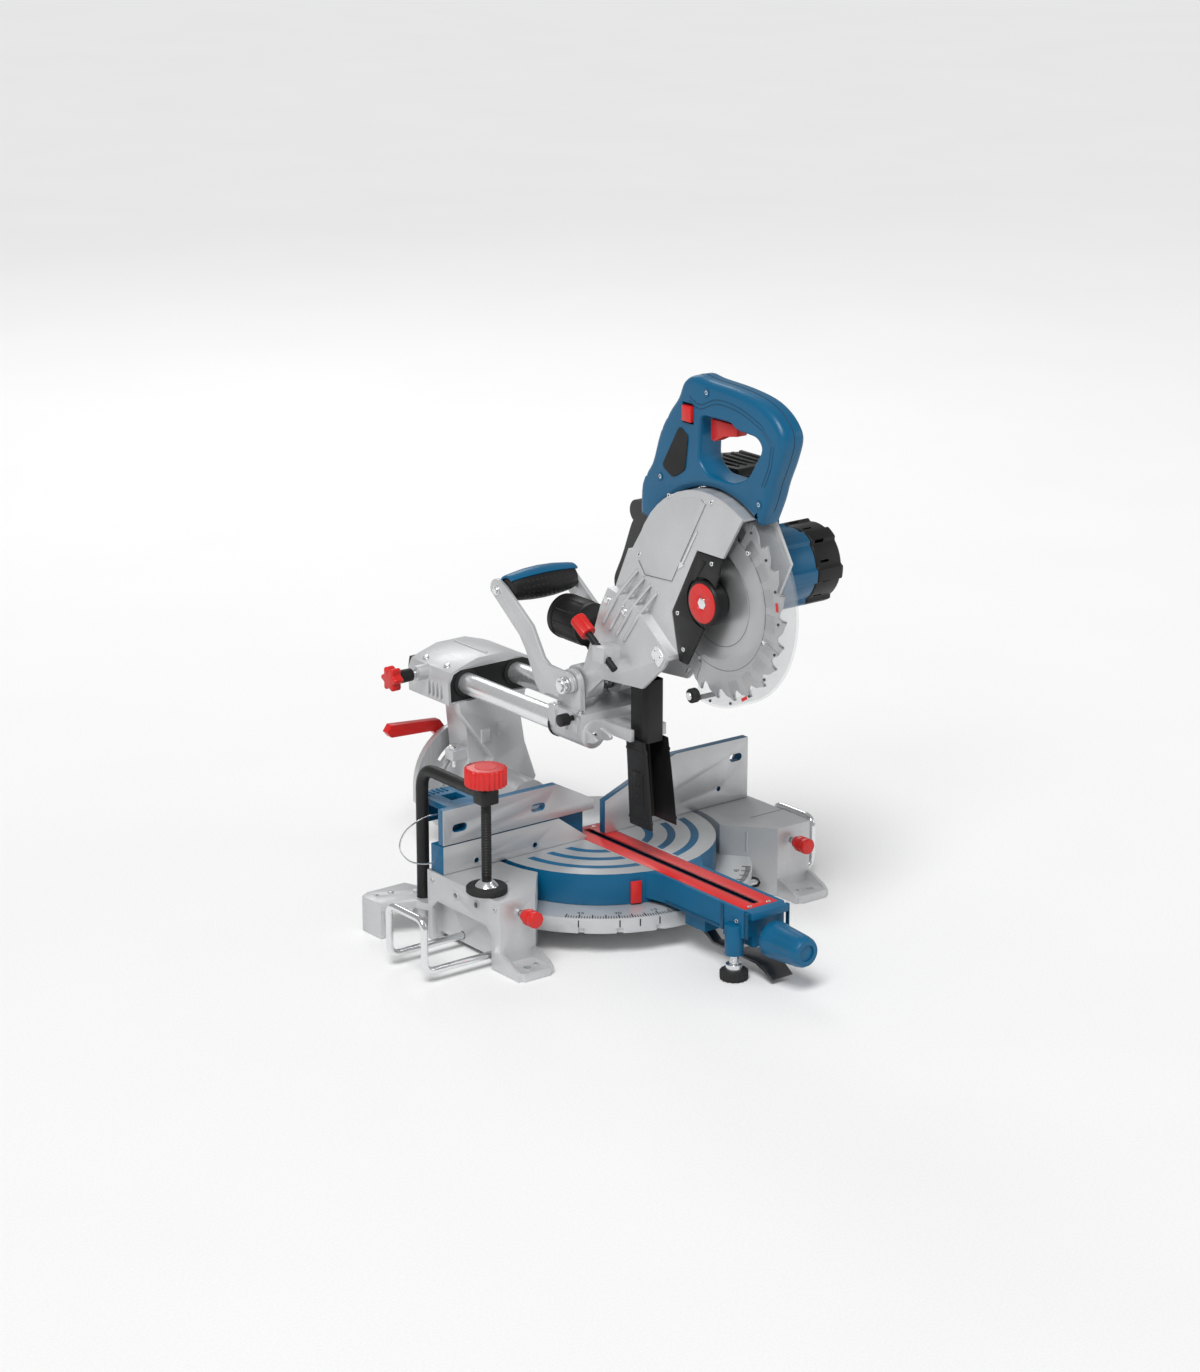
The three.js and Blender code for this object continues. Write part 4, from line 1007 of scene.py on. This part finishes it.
def build_handle():
    curve = [tuple(p[:2]) for p in curve_through([(u, v, 0) for u, v in HANDLE_BACK], 4)]
    arc = circle(*ARBOR, 121.2, 40, 127, -95)
    shell = Shape().prism("x", curve + arc, -11, 21, 0, 8, 5)
    cuts = Shape()
    window = rounded(HANDLE_WINDOW, 9, 5)
    cuts.prism("x", window, -12, 22, 0, -5, 4)
    cuts.box(-20, 0, -176, -157, 584, 606)
    bay = Shape().box(-3, 13, -238, -187, 585, 602)
    for y, z in HANDLE_NOTCHES:
        cuts.bar([(-14, y + 2, z), (24, y + 2, z)], 5, 16)
    piece("handle_shell", shell, "head", ["blue"], 0.0, ("handle",), [cuts, bay])
    trims = Shape()
    pad = rounded([(-153, 579), (-168, 571), (-163, 533), (-143, 521), (-124, 531)], 5, 4)
    trims.prism("x", pad, -12.4, -10.2, 0, 0.9)
    trims.prism("x", pad, 20.2, 22.4, 0, 0.9)
    for sign, x in ((-1, -11), (1, 21)):
        for y, z in ((-120, 518), (-282, 520), (-196, 622)):
            trims.tube("x", y, z, 4.6, 2.8, *sorted((x, x + sign * 0.7)), 24, 2)
            trims.screw((x - sign * 0.6, y, z), (sign, 0, 0), 2.6, 0.9, 1, 0)
    piece("handle_trims", trims, "head", ["rubber", "chrome", "blue"], 0.15)
    # The grip lines wear the darkened blue: painted shade along the grip's grooves.
    lines = Shape()
    for x in (-11, 21):
        for shift in (0, 4.5):
            path = curve_through([(x, u, v + shift) for u, v in GRIP_LINE[:5]], 8)
            path += curve_through([(x, u - shift * 0.9, v) for u, v in GRIP_LINE[5:]], 6)
            lines.bar(path, 0.55, 6)
    piece("handle_grip_lines", lines, "head", ["blue_painted_shade"])
    seam = [Vector((5, u, v)) for u, v in inset(curve, 0.1)[2:-2]]
    piece("handle_seam", Shape().bar(seam, 0.45, 6), "head", ["ink"])


def build_guard():
    trims = Shape()
    panel = [(-212, 508), (-156, 412), (-110, 409)] + circle(*ARBOR, 112, 18, 12, 76)
    trims.prism("x", rounded(panel, 3, 2), -22.8, -21.8, 0, 0.4, 2)
    seam = [(-22.85, u, v) for u, v in inset(panel, 0.6)]
    trims.bar([*seam[-1:], *seam[:4]], 0.32, 6, 2)
    for k in range(4):
        rib = [(-22.5, -97 - 11 * k, 412 - 6 * k), (-34, -80 - 11.5 * k, 385 - 5.5 * k),
               (-35.6, -72 - 11.5 * k, 372 - 5.5 * k), (-35.8, -54 - 12 * k, 346 - 4 * k)]
        trims.bar(curve_through(rib, 5), 2.1, 12, 0)
    plate = rounded([(-160, 331), (-146, 343), (-136, 330), (-151, 317)], 3, 2)
    trims.prism("x", plate, -36.2, -34.8, 1, 0.4)
    for y, z in ((-153, 330), (-145, 336), (-145, 325)):
        trims.screw((-36, y, z), (-1, 0, 0), 1.6, 0.8, 1, 2)
    for y, z in ((-60, 372), (-90, 366), (-66, 300), (-40, 318)):
        trims.bolt((-35, y, z), (-1, 0, 0), 3.4, 2.6, 1)
    for y, z in ((-220, 512), (-150, 505), (-100, 430), (-280, 470)):
        trims.screw((-22, y, z), (-1, 0, 0), 2.6, 1.4, 1, 2)
        trims.screw((22, y, z), (1, 0, 0), 2.6, 1.4, 1, 2)
    for y, z in ((-90, 366), (-66, 300), (-130, 310)):
        trims.bolt((31, y, z), (1, 0, 0), 3.4, 2.6, 1)
    arrow = [
        (-196, 476), (-172, 436), (-170, 438), (-166, 428), (-176, 434), (-174, 435), (-198, 475),
    ]
    trims.prism("x", arrow, -23.3, -22.5, 1, 0.1, 2)
    piece("guard_trims", trims, "head", ["silver", "chrome", "ink"], 0.15)
    cover = Shape()
    tab = rounded([(-204, 446), (-190, 420), (-196, 424), (-212, 446)], 2, 2)
    cover.prism("x", tab, -22.6, -21.6, 0, 0.2, 2)
    for y, z in ((-176, 342), (-222, 446), (-166, 380)):
        cover.screw((-22, y, z), (-1, 0, 0), 2.6, 1.6, 1, 0)
    piece("cover_trims", cover, "head", ["black", "chrome"], 0.1)


def build_blade():
    points = []
    tooth = (
        (0.0, 107.9), (0.08, 107.9), (0.22, 105.4), (0.5, 102.8), (0.74, 97.4), (0.86, 96.6),
        (0.95, 98.6),
    )
    for i in range(TEETH):
        for step, r in tooth:
            a = 2 * pi * (i + step) / TEETH
            points.append((ARBOR[0] + r * cos(a), ARBOR[1] + r * sin(a)))
    plate = Shape().prism("x", points, -0.95, 0.95, 0)
    cuts = [Shape().rod("x", *ARBOR, 8.4, -5, 5, 36)]
    for k in range(4):
        a = radians(20 + 90 * k)
        path = [(r * cos(a + b), r * sin(a + b))
                for r, b in ((110, 0), (96, 0.02), (84, 0.0), (78, 0.05))]
        outline = [(ARBOR[0] + u, ARBOR[1] + v) for u, v in path]
        side = [(u + 0.9 * sin(a), v - 0.9 * cos(a)) for u, v in outline]
        cuts.append(Shape().prism("x", outline + side[::-1], -5, 5))
        end = outline[-1]
        cuts.append(Shape().rod("x", end[0], end[1], 3, -4, 4, 20))
    piece("blade_plate", plate, "spindle", ["blade"], 0.0, ("blade",), cuts)
    tips = Shape()
    for i in range(TEETH):
        a = 2 * pi * (i + 0.02) / TEETH
        turn = Matrix.Translation((0, *ARBOR)) @ Matrix.Rotation(a, 4, "X")
        tips.box(-1.2, 1.2, 101.5, 108, -0.9, 0.7, 0, matrix=turn)
    piece("blade_tips", tips, "spindle", ["carbide"])
    disc = Shape()
    barrel = [(18, -1.4), (18, -7), (24.4, -8.6), (25, -10), (25, -21), (23.6, -23.8)]
    disc.lathe("x", *ARBOR, barrel, 64, 1)
    disc.lathe("x", *ARBOR, [(21.6, -23), (21.2, -24.7), (8.6, -24.7), (8.2, -24)], 64, 0)
    disc.prism("x", circle(*ARBOR, 6.6, 6), -24.9, -22.4, 2, 0.5, 2)
    for y, z in circle(*ARBOR, 16.5, 6, 30):
        disc.lathe("x", y, z, [(1.6, -24.4), (1.3, -24.95)], 16, 0)
    bore = Shape().rod("x", *ARBOR, 8.4, -12.4, 2, 28)
    looks = ["red", "black", "chrome"]
    piece("clamp_disc_turned", disc, "spindle", looks, 0.2, ("clamp_disc",), [bore])


def build_lower_guard():
    def sector(outer, inner, first, last, n=64):
        sweep = last - first
        return circle(*ARBOR, outer, n, first, sweep) + circle(*ARBOR, inner, n, last, -sweep)

    shell = Shape()
    shell.prism("x", sector(114, 111.8, 100, 282), -12, 12, 0)
    shell.prism("x", sector(111.9, 62, 100, 282), -12, -10.6, 0)
    shell.prism("x", sector(111.9, 25, 100, 282), 10.6, 12, 0)
    cuts = Shape()
    for k in range(9):
        first = 112 + 16 * k
        window = rounded(sector(104, 86, first, first + 11, 6), 3, 2)
        cuts.prism("x", window, -14, -9, 0)
    piece("lower_guard_clear", shell, "swing_guard", ["clear"], 0.0, ("lower_guard",), [cuts])
    trims = Shape()
    trims.tube("x", *ARBOR, 34, 24, 10.4, 12.2, 48, 2)
    trims.prism("x", sector(114.2, 111.4, 100, 103), -12.2, 12.2, 2)
    trims.prism("x", sector(114.2, 111.4, 279, 282), -12.2, 12.2, 2)
    for angle in (168, 236):
        trims.prism("x", sector(110.5, 107, angle, angle + 5, 4), -12.5, -11.8, 1)
    for k in range(10):
        a = radians(108 + 18 * k)
        place_at = (-12, ARBOR[0] + 109 * cos(a), ARBOR[1] + 109 * sin(a))
        trims.screw(place_at, (-1, 0, 0), 1.5, 0.5, 2, 2)
    trims.rod("x", *ROLLER, 2.4, -22, -11, 20, 3)
    trims.lathe("x", *ROLLER, [(4, -23), (4.4, -22.4), (4.4, -21)], 24, 3)
    piece("lower_guard_trims", trims, "swing_guard", ["black", "red", "grey", "chrome"], 0.0)
    roller = Shape().tube("x", *ROLLER, 8, 2.9, -20, -12.4, 40, 0)
    piece("guard_roller_round", roller, "roller", ["rubber"], 0.8, ("guard_roller",))


def fluted_outline():
    """The motor's round section with six raised ribs."""
    made = []
    for i in range(180):
        t = i / 180 * 2 * pi
        rise = min(1.0, max(0.0, 6 * (cos(6 * (t - 0.087)) - 0.35)))
        r = 41.5 + 3.5 * rise
        made.append((MOTOR[0] + r * cos(t), MOTOR[1] + r * sin(t)))
    return made


def build_motor():
    case = Shape()
    case.prism("x", fluted_outline(), 50.4, 98, 0, 1.2, 2)
    case.tube("x", *MOTOR, 46.2, 43, 50.4, 56, 72, 0)
    neck = [(-178, 452), (-150, 446), (-118, 498), (-120, 518), (-196, 518), (-200, 460)]
    case.prism("x", rounded(neck, 8, 4), 54, 90, 0, 4, 4)
    hollow = Shape().rod("x", *MOTOR, 38, 56.4, 120, 48)
    hollow.rod("x", *MOTOR, 9, 40, 58, 32)
    piece("motor_case_shell", case, "head", ["blue"], 0.3, ("motor_case",), [hollow])
    cap = Shape()
    cap.prism("x", fluted_outline(), 98.4, 134, 0, 3.4, 4)
    cuts = Shape().rod("x", *MOTOR, 36, 90, 126, 48)
    for k in range(12):
        a = radians(15 + 30 * k)
        turn = Matrix.Translation((0, *MOTOR)) @ Matrix.Rotation(a, 4, "X")
        cuts.box(122, 140, 16, 31, -1.6, 1.6, 0, 0.5, turn)
        cuts.box(104, 116, 30, 60, -1.4, 1.4, 0, 0.5, turn)
    piece("motor_cap_vented", cap, "head", ["black"], 0.2, ("motor_cap",), [cuts])
    body = Shape()
    side = [(-112, 486), (-62, 480), (-56, 470), (-26, 446), (-8, 402), (8, 372), (2, 352),
            (-24, 350), (-50, 392), (-80, 436)]
    body.prism("x", rounded(side, 9, 4), 24, 66, 0, 4, 4)
    body.lathe("x", -34, 456, [(13, 26), (13, 60), (11, 62)], 40, 0)
    for k in range(6):
        t = k / 5
        y, z = -86 + 74 * t, 432 - 62 * t
        for x in (65.4, 23.2):
            body.box(x, x + 1.4, y - 2, y + 2, z, z + 26, 0, 0.4)
    piece("electronics_moulded", body, "head", ["grey"], 0.0, ("electronics_housing",))
    pack = Shape()
    side = [(-118, 528), (-188, 531), (-192, 524), (-190, 521), (-120, 521), (-100, 500),
            (-86, 488), (-60, 483), (-60, 500), (-84, 520)]
    pack.prism("x", rounded(side, 2.5, 3), 40, 100, 0, 1.5, 3)
    for k in range(5):
        pack.box(48 + k * 11, 52 + k * 11, -176, -126, 529, 532, 1, 0.5)
    piece("battery_moulded", pack, "head", ["black", "grey"], 0.0, ("battery",))
    stop = Shape()
    turn = Matrix.Translation((-50, -72, 317.4)) @ Matrix.Rotation(radians(-57.3), 4, "X")
    stop.prism("z", waved(0, 0, 8.7, 0.35, 18, 108), 30, 54, 0, 1.4, 3, turn)
    stop.rod("z", 0, 0, 4, -24, 31, 24, 1, turn)
    piece("depth_stop_knurled", stop, "depth_stop", ["red", "black"], 0.0, ("depth_stop_screw",))


set_camera()
LOOKS = build_surfaces()
set_stage()
dress_nodes()
build_base()
build_bars()
build_clamp()
build_fences()
build_turntable()
build_tilt()
build_carriage()
build_boot()
build_handle()
build_guard()
build_blade()
build_lower_guard()
build_motor()
